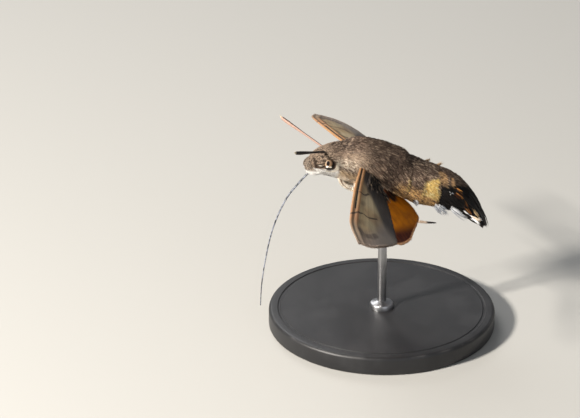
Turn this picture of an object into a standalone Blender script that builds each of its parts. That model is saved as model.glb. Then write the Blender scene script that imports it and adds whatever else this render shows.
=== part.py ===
"""Hummingbird hawk moth, hovering, as a life-size model on a plain display stand.

Metres, +Z up. The moth faces +X and its left side is +Y. The origin is the centre of the
underside of the stand's base. The moth itself is modelled level in its own frame, with the
middle of the thorax at (0, 0, 0), and an empty lifts it and pitches it up for the hover.
"""
import math
import random

import bmesh
import bpy
import numpy as np
from mathutils import Matrix, Vector

MM = 0.001
GAP = 0.3 * MM
NEEDLE = 0.002 * MM

# The hover: the middle of the thorax above the base, and the body's pitch
THORAX_HEIGHT = 28.0 * MM
THORAX_AHEAD = 3.0 * MM
PITCH = math.radians(6.4)

# Stand
BASE_RADIUS = 18.0 * MM
BASE_THICKNESS = 3.0 * MM
BASE_EDGE = 0.6 * MM
ROD_RADIUS = 0.7 * MM

# The body's outline with its coat, from the face to the tips of the tail:
# middle line x and z, half width, rise above the line and drop below it, in millimetres
BODY_OUTLINE = (
    (8.75, -0.30, 0.50, 0.50, 0.60),
    (8.30, -0.10, 1.45, 1.40, 1.65),
    (7.20, 0.20, 2.10, 2.20, 2.30),
    (5.80, 0.40, 2.35, 2.85, 2.70),
    (4.30, 0.45, 2.60, 3.30, 3.00),
    (2.60, 0.35, 3.20, 4.00, 3.30),
    (0.50, 0.25, 3.65, 4.20, 3.65),
    (-2.20, -0.10, 3.75, 4.00, 3.90),
    (-5.00, -0.90, 3.75, 3.45, 3.70),
    (-8.00, -1.85, 3.90, 3.15, 3.40),
    (-11.00, -2.90, 3.95, 3.15, 3.10),
    (-13.80, -4.05, 3.80, 3.10, 2.60),
    (-16.40, -5.60, 3.60, 2.40, 1.80),
    (-18.50, -7.55, 3.60, 1.40, 1.10),
    (-19.90, -9.05, 3.30, 0.70, 0.60),
)
NECK = 4.05
WAIST = 8.15
RUMP = 11.60
BODY_SIDES = 24

# Scale tufts, as flat tapered locks: thickness, how deep a root is sunk, the share of the length
# where it comes out, how much locks vary, and the widths up to the pointed tip
LOCK_THICKNESS = 0.55 * MM
LOCK_ROOT = 0.45 * MM
LOCK_EMERGES = 0.3
LOCK_VARIES = 0.08
LOCK_SHAPE = ((0.0, 0.75), (0.3, 1.0), (0.68, 0.82))
TAIL_CORE_END = 12.9
TAIL_CORE_SHARE = 0.4
TAIL_FAN_LOCKS = 9
TAIL_FAN_SPREAD = 0.97
TAIL_FAN_ROUND = 0.6
TAIL_LOCK_WIDTH = 1.4 * MM
TUFT_LOCK_WIDTH = 1.15 * MM
SHOULDER_LOCK_WIDTH = 1.5 * MM

# Head
EYE_RADIUS = 0.95 * MM
EYE_CENTRE = Vector((5.95, 1.72, 0.20)) * MM
PALP_PATH = ((7.2, 0.9, -1.55), (8.3, 0.95, -1.5), (8.95, 0.9, -0.6), (8.9, 0.85, 0.6))
PALP_RADII = (0.55, 0.7, 0.7, 0.3)
TONGUE_PATH = ((7.7, 0.0, -0.9), (8.8, 0.0, -2.0), (10.4, 0.0, -4.2), (11.7, 0.0, -6.4),
               (12.8, 0.0, -9.6), (13.5, 0.0, -13.0), (13.9, 0.0, -17.5), (14.0, 0.0, -21.5),
               (13.8, 0.0, -25.0))
TONGUE_RADII = (0.25, 0.15)
ANTENNA_BASE = Vector((6.7, 0.75, 2.1)) * MM
ANTENNA_LEAN = Vector((0.676, 0.696, 0.243))
ANTENNA_LENGTH = 9.0 * MM
ANTENNA_RADII = (0.25, 0.25, 0.26, 0.3, 0.34, 0.3, 0.12)

# Wings: each hinge on the thorax in millimetres, and the lines along the span and the chord.
# The right forewing is swept a little less and its chord is pitched less steeply.
WING_LINES = {
    "forewing_left": ((1.0, 3.0, 0.45), (0.288, 0.955, -0.065), (-0.810, 0.207, -0.548)),
    "hindwing_left": ((1.0, 3.0, 0.45), (0.288, 0.955, -0.065), (-0.810, 0.207, -0.548)),
    "forewing_right": ((0.9, -3.0, 0.90), (0.246, -0.964, -0.098), (-0.931, -0.205, -0.305)),
    "hindwing_right": ((0.9, -3.0, 0.90), (0.246, -0.964, -0.098), (-0.855, -0.170, -0.490)),
}
MEMBRANE = 0.5 * MM
RIDGE = 0.14 * MM
HIND_BELOW = 1.15 * MM
WING_ROWS = 13
VEIN_FLANK = 0.036

# Wing outlines in the wing's plane: along the span, then across it, in millimetres
FORE_COSTA = ((-0.8, 0.0), (7.8, -0.3), (14.8, 0.1), (18.5, 0.6), (21.7, 2.6))
FORE_TERMEN = ((21.7, 2.6), (20.4, 5.0), (16.9, 7.4), (13.4, 9.0))
FORE_DORSUM = ((-0.8, 2.4), (1.4, 3.5), (3.8, 5.4), (8.6, 7.3), (13.4, 9.0))
FORE_VEINS = (0.09, 0.19, 0.33, 0.47, 0.60, 0.73, 0.87)
HIND_COSTA = ((-0.8, 3.0), (3.5, 3.4), (8.0, 5.2), (11.6, 8.2))
HIND_TERMEN = ((11.6, 8.2), (10.6, 10.1), (7.6, 11.4), (5.1, 11.6), (1.1, 12.0), (-1.7, 12.2))
HIND_DORSUM = ((-1.6, 4.2), (-3.3, 7.6), (-3.3, 10.3), (-1.7, 12.2))
HIND_VEINS = (0.14, 0.30, 0.45, 0.60, 0.75, 0.89)

# Legs: paths of the left ones, and a radius for each point
FORELEG_PATH = ((3.9, 0.9, -2.0), (3.1, 1.0, -3.2), (1.0, 1.35, -4.1), (-1.6, 1.6, -4.65))
FORELEG_RADII = (0.45, 0.42, 0.36, 0.27)
MIDLEG_PATH = ((1.5, 2.1, -2.4), (1.2, 2.6, -3.6), (-0.8, 2.8, -4.3), (-2.9, 2.5, -4.85))
MIDLEG_RADII = (0.45, 0.42, 0.36, 0.27)
HINDLEG_PATH = ((-2.2, 1.3, -3.3), (-3.9, 1.3, -5.6), (-6.4, 1.6, -7.6), (-9.0, 2.4, -8.35),
                (-11.8, 2.7, -8.4))
HINDLEG_RADII = (0.5, 0.48, 0.4, 0.32, 0.25)


def clear_scene():
    for item in list(bpy.data.objects):
        bpy.data.objects.remove(item)


def new_collection(name):
    group = bpy.data.collections.new(name)
    bpy.context.scene.collection.children.link(group)
    return group


def paint(obj, name, colour, roughness, metallic=0.0):
    """Give an object its own Principled material."""
    material = bpy.data.materials.new(name)
    material.use_nodes = True
    shader = material.node_tree.nodes["Principled BSDF"]
    shader.inputs["Base Color"].default_value = (*colour, 1.0)
    shader.inputs["Roughness"].default_value = roughness
    shader.inputs["Metallic"].default_value = metallic
    obj.data.materials.clear()
    obj.data.materials.append(material)


def mesh_object(name, points, faces, group):
    """A closed mesh from points and faces, shaded smooth."""
    mesh = bpy.data.meshes.new(name)
    mesh.from_pydata([tuple(point) for point in points], [], faces)
    mesh.validate()
    mesh.shade_smooth()
    obj = bpy.data.objects.new(name, mesh)
    group.objects.link(obj)
    return obj


def face_outward(obj):
    skin = bmesh.new()
    skin.from_mesh(obj.data)
    bmesh.ops.recalc_face_normals(skin, faces=skin.faces)
    skin.to_mesh(obj.data)
    skin.free()


def smooth_curve(rows, places):
    """Read a smooth curve through rows of numbers at places counted in rows."""
    rows = np.asarray(rows, dtype=float)
    last = len(rows) - 1
    ghost = np.vstack([2 * rows[0] - rows[1], rows, 2 * rows[-1] - rows[-2]])
    places = np.clip(np.asarray(places, dtype=float), 0.0, last)
    start = np.minimum(places.astype(int), last - 1)
    part = (places - start)[:, None]
    before, here, there, after = (ghost[start + step] for step in range(4))
    return 0.5 * (2 * here + (there - before) * part
                  + (2 * before - 5 * here + 4 * there - after) * part ** 2
                  + (3 * here - before - 3 * there + after) * part ** 3)


def even_curve(rows, count):
    """Points at even distances along a smooth curve through rows."""
    fine = smooth_curve(rows, np.linspace(0, len(rows) - 1, 200))
    walked = np.concatenate([[0.0], np.cumsum(np.linalg.norm(np.diff(fine, axis=0), axis=1))])
    wanted = np.linspace(0.0, walked[-1], count)
    return np.stack([np.interp(wanted, walked, column) for column in fine.T], axis=1)


def body_row(place):
    """Middle point, along, half width, rise and drop of the body at a place on its outline."""
    step = 0.02
    rows = smooth_curve(BODY_OUTLINE, [place, place - step, place + step]) * MM
    x, z, wide, rise, drop = rows[0]
    along = Vector((rows[2][0] - rows[1][0], 0.0, rows[2][1] - rows[1][1])).normalized()
    return Vector((x, 0.0, z)), along, wide, rise, drop


def body_point(place, angle, grow=0.0, share=1.0):
    """A point of the coat's surface: the angle is 0 at the left side and 90 degrees on top."""
    middle, along, wide, rise, drop = body_row(place)
    up = Vector((0.0, 1.0, 0.0)).cross(along)
    height = rise if math.sin(angle) > 0 else drop
    side = (wide * share + grow) * math.cos(angle)
    lift = (height * share + grow) * math.sin(angle)
    return middle + Vector((0.0, side, 0.0)) + up * lift


def loft(name, rings, group):
    """A closed skin over rings of equal count, with a fan at each end."""
    sides = len(rings[0])
    points = [point for ring in rings for point in ring]
    faces = []
    for row in range(len(rings) - 1):
        for side in range(sides):
            near = row * sides + side
            next_side = row * sides + (side + 1) % sides
            faces.append((near, next_side, next_side + sides, near + sides))
    for row, turned in ((0, True), (len(rings) - 1, False)):
        hub = len(points)
        points.append(sum(rings[row], Vector()) / sides)
        for side in range(sides):
            edge = (row * sides + side, row * sides + (side + 1) % sides)
            faces.append((hub, edge[1], edge[0]) if turned else (hub, *edge))
    obj = mesh_object(name, points, faces, group)
    face_outward(obj)
    return obj


def body_piece(name, start, end, rings, group, grow=0.0, end_share=1.0):
    """One length of the body between two places on its outline, narrowed towards its end."""
    angles = [2 * math.pi * side / BODY_SIDES for side in range(BODY_SIDES)]
    places = np.linspace(start, end, rings)
    shares = np.linspace(1.0, end_share, rings)
    skin = [[body_point(place, angle, grow, share) for angle in angles]
            for place, share in zip(places, shares)]
    return loft(name, skin, group)


def lock(chance, start, end, angle, swing, lift, width, group):
    """A flat tapered lock along the body, from a sunk root to a tip that stands off by lift."""
    start += chance.uniform(-LOCK_VARIES, LOCK_VARIES) / 2
    end -= chance.uniform(0.0, LOCK_VARIES)
    angle += chance.uniform(-LOCK_VARIES, LOCK_VARIES)
    points = []
    for share, wide in LOCK_SHAPE:
        place = start + (end - start) * share
        turn = angle + swing * share
        grow = lift * share - LOCK_ROOT * (1.0 - min(1.0, share / LOCK_EMERGES))
        centre = body_point(place, turn, grow)
        outward = (body_point(place, turn, grow + MM) - centre).normalized()
        ahead = body_point(place + 0.05, turn, grow) - body_point(place - 0.05, turn, grow)
        half_width = outward.cross(ahead).normalized() * width * wide / 2
        half_thick = outward * LOCK_THICKNESS / 2
        points += [centre + half_width, centre + half_thick,
                   centre - half_width, centre - half_thick]
    points.append(body_point(end, angle + swing, lift))
    last = 4 * len(LOCK_SHAPE) - 4
    faces = [(3, 2, 1, 0)]
    for near in range(last):
        beside = near - 3 if near % 4 == 3 else near + 1
        faces.append((near, beside, beside + 4, near + 4))
    faces += [(last + side, last + (side + 1) % 4, last + 4) for side in range(4)]
    obj = mesh_object("lock", points, faces, group)
    face_outward(obj)


def fuse(obj, group):
    """Join all locks of a collection to their node with one Boolean union."""
    boolean(obj, "UNION", collection=group)
    for item in list(group.objects):
        bpy.data.objects.remove(item)


def side_angle(degrees, side):
    """An angle round the body on the left side, or its mirror image on the right side."""
    return math.radians(degrees if side > 0 else 180 - degrees)


def tail_locks(chance, group):
    """Two tiers of long scales that spread as a flat fan, and the tufts at its sides."""
    for tier, start, reach in ((1, 11.75, 14.0), (-1, 11.8, 13.8)):
        for item in range(TAIL_FAN_LOCKS):
            across = (item + 0.5) / TAIL_FAN_LOCKS * 2.0 - 1.0
            angle = tier * math.acos(across * TAIL_FAN_SPREAD)
            end = reach - TAIL_FAN_ROUND * across ** 2
            lock(chance, start, end, angle, 0.0, 0.0, TAIL_LOCK_WIDTH, group)
    for side in (1, -1):
        for degrees in (-16, -34):
            lock(chance, 11.85, 12.95, side_angle(degrees, side), math.radians(-10) * side,
                 0.4 * MM, TUFT_LOCK_WIDTH, group)


def abdomen_locks(chance, group):
    """Side tufts of the abdomen, which point back and down, and two short ones above them."""
    for side in (1, -1):
        for start, reach, lift in ((9.75, 10.8, 0.6), (10.75, 11.95, 0.85)):
            for degrees in (-19, -33, -47):
                lock(chance, start, reach, side_angle(degrees, side), math.radians(-14) * side,
                     lift * MM, TUFT_LOCK_WIDTH, group)
        for start, reach in ((9.6, 10.2), (10.25, 10.85)):
            for degrees in (20, 36):
                lock(chance, start, reach, side_angle(degrees, side), 0.0, 0.6 * MM,
                     TUFT_LOCK_WIDTH, group)


def thorax_locks(chance, group):
    """The long scales that lie back over each wing's base."""
    for side in (1, -1):
        for degrees, start, reach in ((24, 5.8, 7.3), (46, 5.7, 7.4), (68, 5.8, 7.3)):
            lock(chance, start, reach, side_angle(degrees, side), math.radians(-6) * side,
                 0.45 * MM, SHOULDER_LOCK_WIDTH, group)


def gap_in_places(place):
    """Half of the gap between two lengths of the body, counted in rows of its outline."""
    rows = smooth_curve(BODY_OUTLINE, [place - 0.05, place + 0.05]) * MM
    return 0.5 * GAP * 0.1 / math.dist(rows[0][:2], rows[1][:2])


def evaluated_mesh(obj):
    depsgraph = bpy.context.evaluated_depsgraph_get()
    return bpy.data.meshes.new_from_object(obj.evaluated_get(depsgraph))


def keep_largest(obj):
    """Clear a mesh of needle-thin faces and keep only its largest closed surface."""
    body = bmesh.new()
    body.from_mesh(obj.data)
    bmesh.ops.dissolve_degenerate(body, edges=body.edges, dist=NEEDLE)
    left = set(body.verts)
    best = []
    while left:
        seed = left.pop()
        island = [seed]
        for vert in island:
            for edge in vert.link_edges:
                other = edge.other_vert(vert)
                if other in left:
                    left.remove(other)
                    island.append(other)
        if len(island) > len(best):
            best = island
    kept = set(best)
    loose = [vert for vert in body.verts if vert not in kept]
    bmesh.ops.delete(body, geom=loose, context="VERTS")
    body.to_mesh(obj.data)
    body.free()


def boolean(obj, operation, cutter=None, collection=None):
    """Apply one Boolean with an object or with all objects of a collection."""
    change = obj.modifiers.new("boolean", "BOOLEAN")
    change.operation = operation
    change.solver = "EXACT"
    if collection is None:
        change.object = cutter
    else:
        change.operand_type = "COLLECTION"
        change.collection = collection
    result = evaluated_mesh(obj)
    obj.modifiers.clear()
    obj.data = result
    keep_largest(obj)
    obj.data.shade_smooth()


def tube(name, path, radii, group, sides=1):
    """A bevelled curve with filled caps, made a mesh with its caps welded."""
    curve = bpy.data.curves.new(name, "CURVE")
    curve.dimensions = "3D"
    curve.bevel_depth = MM
    curve.bevel_resolution = sides
    curve.use_fill_caps = True
    spline = curve.splines.new("POLY")
    spline.points.add(len(path) - 1)
    for point, place, radius in zip(spline.points, path, radii):
        point.co = (*place, 1.0)
        point.radius = radius
    drawn = bpy.data.objects.new(name + "_curve", curve)
    group.objects.link(drawn)
    mesh = evaluated_mesh(drawn)
    bpy.data.objects.remove(drawn)
    body = bmesh.new()
    body.from_mesh(mesh)
    bmesh.ops.remove_doubles(body, verts=body.verts, dist=0.001 * MM)
    body.to_mesh(mesh)
    body.free()
    mesh.name = name
    mesh.shade_smooth()
    obj = bpy.data.objects.new(name, mesh)
    group.objects.link(obj)
    return obj


def mirrored(path, side):
    return [(x * MM, y * MM * side, z * MM) for x, y, z in path]


def smooth_tube(name, path, radii, count, side, group, sides=1):
    """A tube along a smooth path given in millimetres for the left side."""
    route = even_curve(mirrored(path, side), count)
    sizes = np.interp(np.linspace(0, len(radii) - 1, count), range(len(radii)), radii)
    return tube(name, route, sizes, group, sides)


def make_body(parts, cutters):
    """Head, thorax, abdomen and the clearance that what grows from them is cut by."""
    tail_end = len(BODY_OUTLINE) - 1.0
    clearance = body_piece("body_clearance", 0.0, tail_end, 40, cutters, grow=GAP)
    neck = gap_in_places(NECK)
    waist = gap_in_places(WAIST)
    rump = gap_in_places(RUMP)
    head = body_piece("head", 0.0, NECK - neck, 13, parts)
    thorax = body_piece("thorax", NECK + neck, WAIST - waist, 14, parts)
    abdomen = body_piece("abdomen", WAIST + waist, RUMP - rump, 13, parts)
    tail = body_piece("tail_fan", RUMP + rump, TAIL_CORE_END, 6, parts, end_share=TAIL_CORE_SHARE)
    chance = random.Random(7)
    for node, grow_locks in ((thorax, thorax_locks), (abdomen, abdomen_locks), (tail, tail_locks)):
        group = new_collection(node.name + "_locks")
        grow_locks(chance, group)
        fuse(node, group)
    paint(head, "head fur", (0.30, 0.24, 0.20), 0.9)
    paint(thorax, "thorax fur", (0.27, 0.22, 0.18), 0.9)
    paint(abdomen, "abdomen fur", (0.25, 0.20, 0.17), 0.9)
    paint(tail, "tail scales", (0.03, 0.025, 0.025), 0.8)
    return clearance, head


def make_eyes(head, parts, cutters):
    for side, word in ((1, "left"), (-1, "right")):
        place = Vector((EYE_CENTRE.x, EYE_CENTRE.y * side, EYE_CENTRE.z))
        balls = []
        for radius, name in ((EYE_RADIUS, "eye_" + word), (EYE_RADIUS + GAP, "socket_" + word)):
            mesh = bpy.data.meshes.new(name)
            ball = bmesh.new()
            bmesh.ops.create_uvsphere(ball, u_segments=20, v_segments=12, radius=radius)
            ball.to_mesh(mesh)
            ball.free()
            mesh.transform(Matrix.Translation(place) @ Matrix.Rotation(math.radians(90), 4, "X"))
            mesh.shade_smooth()
            balls.append(bpy.data.objects.new(name, mesh))
        parts.objects.link(balls[0])
        cutters.objects.link(balls[1])
        paint(balls[0], "eye " + word, (0.35, 0.25, 0.14), 0.3)
        boolean(head, "DIFFERENCE", balls[1])


def make_head_pieces(clearance, parts):
    for side, word in ((1, "left"), (-1, "right")):
        palp = smooth_tube("palp_" + word, PALP_PATH, PALP_RADII, 9, side, parts, sides=2)
        boolean(palp, "DIFFERENCE", clearance)
        paint(palp, "palp " + word, (0.55, 0.50, 0.45), 0.9)
        lean = Vector((ANTENNA_LEAN.x, ANTENNA_LEAN.y * side, ANTENNA_LEAN.z))
        base = Vector((ANTENNA_BASE.x, ANTENNA_BASE.y * side, ANTENNA_BASE.z))
        route = [base + lean * share for share in np.linspace(0.0, ANTENNA_LENGTH, len(ANTENNA_RADII))]
        antenna = tube("antenna_" + word, route, ANTENNA_RADII, parts)
        boolean(antenna, "DIFFERENCE", clearance)
        paint(antenna, "antenna " + word, (0.05, 0.04, 0.04), 0.6)
    tongue = smooth_tube("proboscis", TONGUE_PATH, TONGUE_RADII, 26, 1, parts)
    boolean(tongue, "DIFFERENCE", clearance)
    paint(tongue, "proboscis", (0.06, 0.07, 0.09), 0.4)


def make_legs(clearance, parts):
    for side, word in ((1, "left"), (-1, "right")):
        for name, path, radii in (("foreleg_", FORELEG_PATH, FORELEG_RADII),
                                  ("midleg_", MIDLEG_PATH, MIDLEG_RADII),
                                  ("hindleg_", HINDLEG_PATH, HINDLEG_RADII)):
            leg = smooth_tube(name + word, path, radii, 12, side, parts)
            boolean(leg, "DIFFERENCE", clearance)
            paint(leg, name + word, (0.45, 0.36, 0.27), 0.8)


def spokes(veins):
    """Where the lines of the wing's grid cross the chord, and how far each is raised."""
    lines = [(0.0, 0.6)]
    for vein in veins:
        lines += [(vein - VEIN_FLANK, 0.0), (vein, 1.0), (vein + VEIN_FLANK, 0.0)]
    lines.append((1.0, 0.2))
    return lines


def wing_point(costa, dorsum, termen, hinge_line, along, across):
    """A point of the wing's plane from its four edges, by a Coons patch."""
    edge = costa[along[0]] * (1 - across) + dorsum[along[0]] * across
    ends = hinge_line(across) * (1 - along[1]) + termen(across) * along[1]
    corners = ((costa[0] * (1 - across) + dorsum[0] * across) * (1 - along[1])
               + (costa[-1] * (1 - across) + dorsum[-1] * across) * along[1])
    return edge + ends - corners


def sheet_faces(wide):
    """Triangles of a closed sheet of WING_ROWS by wide points, all upper ones first."""
    below = WING_ROWS * wide
    faces = []
    for row in range(WING_ROWS - 1):
        for line in range(wide - 1):
            a = row * wide + line
            b, c, d = a + 1, a + wide + 1, a + wide
            faces += [(a, d, c), (a, c, b)]
            faces += [(a + below, c + below, d + below), (a + below, b + below, c + below)]
    border = list(range(wide))
    border += [row * wide + wide - 1 for row in range(1, WING_ROWS)]
    border += [(WING_ROWS - 1) * wide + line for line in range(wide - 2, -1, -1)]
    border += [row * wide for row in range(WING_ROWS - 2, 0, -1)]
    for here, there in zip(border, border[1:] + border[:1]):
        faces += [(here, there, there + below), (here, there + below, here + below)]
    return faces


def wing(name, side, costa_rows, termen_rows, dorsum_rows, veins, below, camber, parts):
    """A membrane with raised veins, split into triangles alike on both faces."""
    hinge, span_line, chord_line = (Vector(line) for line in WING_LINES[name])
    hinge *= MM
    over = span_line.cross(chord_line).normalized() * side
    costa = even_curve(costa_rows, WING_ROWS)
    dorsum = even_curve(dorsum_rows, WING_ROWS)
    fine = even_curve(termen_rows, 60)
    shares = np.linspace(0, 1, 60)

    def termen(across):
        return np.array([np.interp(across, shares, fine[:, 0]), np.interp(across, shares, fine[:, 1])])

    def hinge_line(across):
        return costa[0] * (1 - across) + dorsum[0] * across

    lines = spokes(veins)
    upper = []
    lower = []
    for row in range(WING_ROWS):
        share = row / (WING_ROWS - 1)
        for across, raised in lines:
            flat = wing_point(costa, dorsum, termen, hinge_line, (row, share), across)
            middle = (hinge + span_line * flat[0] * MM + chord_line * flat[1] * MM
                      + over * (camber(share, across) * MM - below))
            edge = 0.65 if row == WING_ROWS - 1 or across == 1.0 else 1.0
            half = 0.5 * MEMBRANE * edge + RIDGE * raised * (1 - 0.7 * share)
            upper.append(middle + over * half)
            lower.append(middle - over * half)
    obj = mesh_object(name, upper + lower, sheet_faces(len(lines)), parts)
    face_outward(obj)
    return obj


def fore_camber(share, across):
    """Height of the forewing's surface over its plane, in millimetres."""
    return 0.5 * math.sin(math.pi * min(across, 1.0)) * (0.4 + 0.6 * share)


def hind_camber(share, across):
    return 0.35 * math.sin(math.pi * across) * share


def make_wings(clearance, parts):
    for side, word in ((1, "left"), (-1, "right")):
        fore = wing("forewing_" + word, side, FORE_COSTA, FORE_TERMEN, FORE_DORSUM,
                    FORE_VEINS, 0.0, fore_camber, parts)
        hind = wing("hindwing_" + word, side, HIND_COSTA, HIND_TERMEN, HIND_DORSUM,
                    HIND_VEINS, HIND_BELOW, hind_camber, parts)
        boolean(fore, "DIFFERENCE", clearance)
        boolean(hind, "DIFFERENCE", clearance)
        paint(fore, "forewing " + word, (0.22, 0.18, 0.15), 0.75)
        paint(hind, "hindwing " + word, (0.50, 0.20, 0.02), 0.7)


def make_stand(clearance, parts):
    bpy.ops.mesh.primitive_cylinder_add(vertices=64, radius=BASE_RADIUS, depth=BASE_THICKNESS,
                                        location=(0.0, 0.0, BASE_THICKNESS / 2))
    base = bpy.context.object
    base.name = "stand_base"
    bevel = base.modifiers.new("edge", "BEVEL")
    bevel.width = BASE_EDGE
    bevel.segments = 2
    bevel.limit_method = "ANGLE"
    base.data.shade_smooth()
    base.data.set_sharp_from_angle(angle=math.radians(40))
    foot = BASE_THICKNESS + GAP
    bpy.ops.mesh.primitive_cylinder_add(vertices=16, radius=ROD_RADIUS, depth=THORAX_HEIGHT - foot,
                                        location=(0.0, 0.0, (THORAX_HEIGHT + foot) / 2))
    rod = bpy.context.object
    rod.name = "stand_rod"
    for item in (base, rod):
        for group in list(item.users_collection):
            group.objects.unlink(item)
        parts.objects.link(item)
    boolean(rod, "DIFFERENCE", clearance)
    rod.data.set_sharp_from_angle(angle=math.radians(40))
    paint(base, "stand base", (0.03, 0.03, 0.03), 0.45)
    paint(rod, "stand rod", (0.45, 0.45, 0.45), 0.3, metallic=1.0)


def main():
    clear_scene()
    parts = new_collection("hawk_moth")
    cutters = new_collection("cutters")
    hover = bpy.data.objects.new("hover", None)
    hover.location = (THORAX_AHEAD, 0.0, THORAX_HEIGHT)
    hover.rotation_euler = (0.0, -PITCH, 0.0)
    parts.objects.link(hover)
    clearance, head = make_body(parts, cutters)
    make_eyes(head, parts, cutters)
    make_head_pieces(clearance, parts)
    make_legs(clearance, parts)
    make_wings(clearance, parts)
    for group in (parts, cutters):
        for obj in group.objects:
            if obj is not hover:
                obj.parent = hover
    bpy.context.view_layer.update()
    make_stand(clearance, parts)
    for obj in cutters.objects:
        obj.hide_render = True
        obj.display_type = "WIRE"


main()
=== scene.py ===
"""The looks of a life-size hummingbird hawk moth, held in hover by a plain display stand."""
import math

import bpy
import numpy as np
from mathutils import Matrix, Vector


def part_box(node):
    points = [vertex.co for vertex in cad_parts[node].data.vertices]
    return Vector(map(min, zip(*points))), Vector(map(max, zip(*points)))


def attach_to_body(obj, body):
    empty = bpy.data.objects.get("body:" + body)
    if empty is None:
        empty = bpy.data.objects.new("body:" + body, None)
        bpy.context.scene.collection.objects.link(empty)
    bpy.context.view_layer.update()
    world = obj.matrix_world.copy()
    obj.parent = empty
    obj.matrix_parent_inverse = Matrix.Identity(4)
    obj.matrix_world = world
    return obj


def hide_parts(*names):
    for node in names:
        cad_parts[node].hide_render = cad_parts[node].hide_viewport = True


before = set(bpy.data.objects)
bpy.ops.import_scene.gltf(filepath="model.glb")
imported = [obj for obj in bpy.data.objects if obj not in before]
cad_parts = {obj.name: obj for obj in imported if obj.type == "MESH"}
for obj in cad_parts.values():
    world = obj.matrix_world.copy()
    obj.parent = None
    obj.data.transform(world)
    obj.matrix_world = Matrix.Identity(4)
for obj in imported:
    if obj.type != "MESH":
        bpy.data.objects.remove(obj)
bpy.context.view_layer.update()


# ---------------------------------------------------------------------------
# Viewpoint. The moth's left side is seen from a little above and in front of
# square, from far enough off that near and far wings are drawn in one scale.
# ---------------------------------------------------------------------------
MM = 0.001
THORAX = np.array((3.0, 0.0, 28.0)) * MM
VIEW_BACK = Vector((0.1390, 0.8970, 0.4201)).normalized()
VIEW_RIGHT = Vector((0.0, 0.0, 1.0)).cross(VIEW_BACK).normalized()
VIEW_UP = VIEW_BACK.cross(VIEW_RIGHT)
VIEW_DISTANCE = 450.0 * MM
VIEW_SHIFT = (-11.64 * MM, -7.02 * MM)
LENS = 179.6

camera = bpy.data.objects.new("camera", bpy.data.cameras.new("camera"))
bpy.context.scene.collection.objects.link(camera)
camera.data.lens = LENS
camera.data.sensor_width = 36.0
camera.data.clip_start = 0.01
camera.rotation_mode = "QUATERNION"
camera.rotation_quaternion = VIEW_BACK.to_track_quat("Z", "Y")
camera.location = (Vector(THORAX) + VIEW_BACK * VIEW_DISTANCE
                   + VIEW_RIGHT * VIEW_SHIFT[0] + VIEW_UP * VIEW_SHIFT[1])
bpy.context.scene.camera = camera


# ---------------------------------------------------------------------------
# Studio. A pale matt table that runs far back, a broad warm key light from
# behind the tail's side, a soft fill from the camera's side and a pale room.
# ---------------------------------------------------------------------------
class Wire:
    """An output socket that arithmetic can be written on, each operator one Math node."""

    def __init__(self, work, socket):
        self.work = work
        self.socket = socket

    def math(self, operation, *rest):
        return self.work.node("ShaderNodeMath", {"operation": operation}, (self, *rest))[0]

    def __add__(self, other):
        return self.math("ADD", other)

    def __mul__(self, other):
        return self.math("MULTIPLY", other)

    def __sub__(self, other):
        return self.math("SUBTRACT", other)

    def __rsub__(self, other):
        return self.work.node("ShaderNodeMath", {"operation": "SUBTRACT"}, (other, self))[0]

    def __truediv__(self, other):
        return self.math("DIVIDE", other)

    def __abs__(self):
        return self.math("ABSOLUTE")

    __radd__ = __add__
    __rmul__ = __mul__

    def step(self, low, high):
        """0 below low and 1 above high, with a soft change between them."""
        return self.work.node("ShaderNodeMapRange", {"interpolation_type": "SMOOTHSTEP"},
                              (self, low, high))[0]

    def band(self, low, high, soft):
        """1 between low and high, and 0 outside them past a soft edge."""
        return self.step(low - soft, low + soft) * (1 - self.step(high - soft, high + soft))


class Work:
    """A node tree that is written as Python."""

    def __init__(self, tree):
        self.tree = tree

    def node(self, kind, settings=None, sockets=()):
        """Add a node: its settings first, then values or wires for its sockets by place or name."""
        made = self.tree.nodes.new(kind)
        for name, value in (settings or {}).items():
            setattr(made, name, value)
        pairs = sockets.items() if isinstance(sockets, dict) else enumerate(sockets)
        for key, value in pairs:
            if isinstance(value, Wire):
                self.tree.links.new(value.socket, made.inputs[key])
            elif value is not None:
                made.inputs[key].default_value = value
        return [Wire(self, socket) for socket in made.outputs]


class Finish(Work):
    """A material: colours go through Mix nodes and end in one Principled shader."""

    def __init__(self, name):
        self.material = bpy.data.materials.new(name)
        self.material.use_nodes = True
        super().__init__(self.material.node_tree)
        self.shader = self.tree.nodes["Principled BSDF"]

    def mark(self, name):
        """A mark that the mesh carries: its colour or vector, and its number."""
        read = self.node("ShaderNodeAttribute", {"attribute_name": name})
        return read[1], read[2]

    def parts(self, vector):
        return self.node("ShaderNodeSeparateXYZ", None, (vector,))

    def place(self):
        return self.node("ShaderNodeTexCoord")[3]

    def stretched(self, vector, scale):
        return self.node("ShaderNodeVectorMath", {"operation": "MULTIPLY"}, (vector, scale))[0]

    def noise(self, vector, scale, detail=3.0, roughness=0.55):
        return self.node("ShaderNodeTexNoise", None, {"Vector": vector, "Scale": scale,
                                                       "Detail": detail, "Roughness": roughness})[0]

    def mix(self, share, first, second):
        first, second = (colour if isinstance(colour, Wire) else (*colour, 1.0)
                         for colour in (first, second))
        return self.node("ShaderNodeMix", {"data_type": "RGBA"},
                         {0: share, 6: first, 7: second})[2]

    def bump(self, height, depth, strength=1.0):
        return self.node("ShaderNodeBump", None, {"Strength": strength, "Distance": depth,
                                                  "Height": height})[0]

    def end(self, colour, roughness, normal=None, **constants):
        wired = {"Base Color": colour, "Roughness": roughness, "Normal": normal}
        for name, value in wired.items():
            if isinstance(value, Wire):
                self.tree.links.new(value.socket, self.shader.inputs[name])
            elif value is not None:
                self.shader.inputs[name].default_value = (
                    (*value, 1.0) if name == "Base Color" else value)
        for name, value in constants.items():
            self.shader.inputs[name.replace("_", " ")].default_value = value
        return self.material


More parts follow.
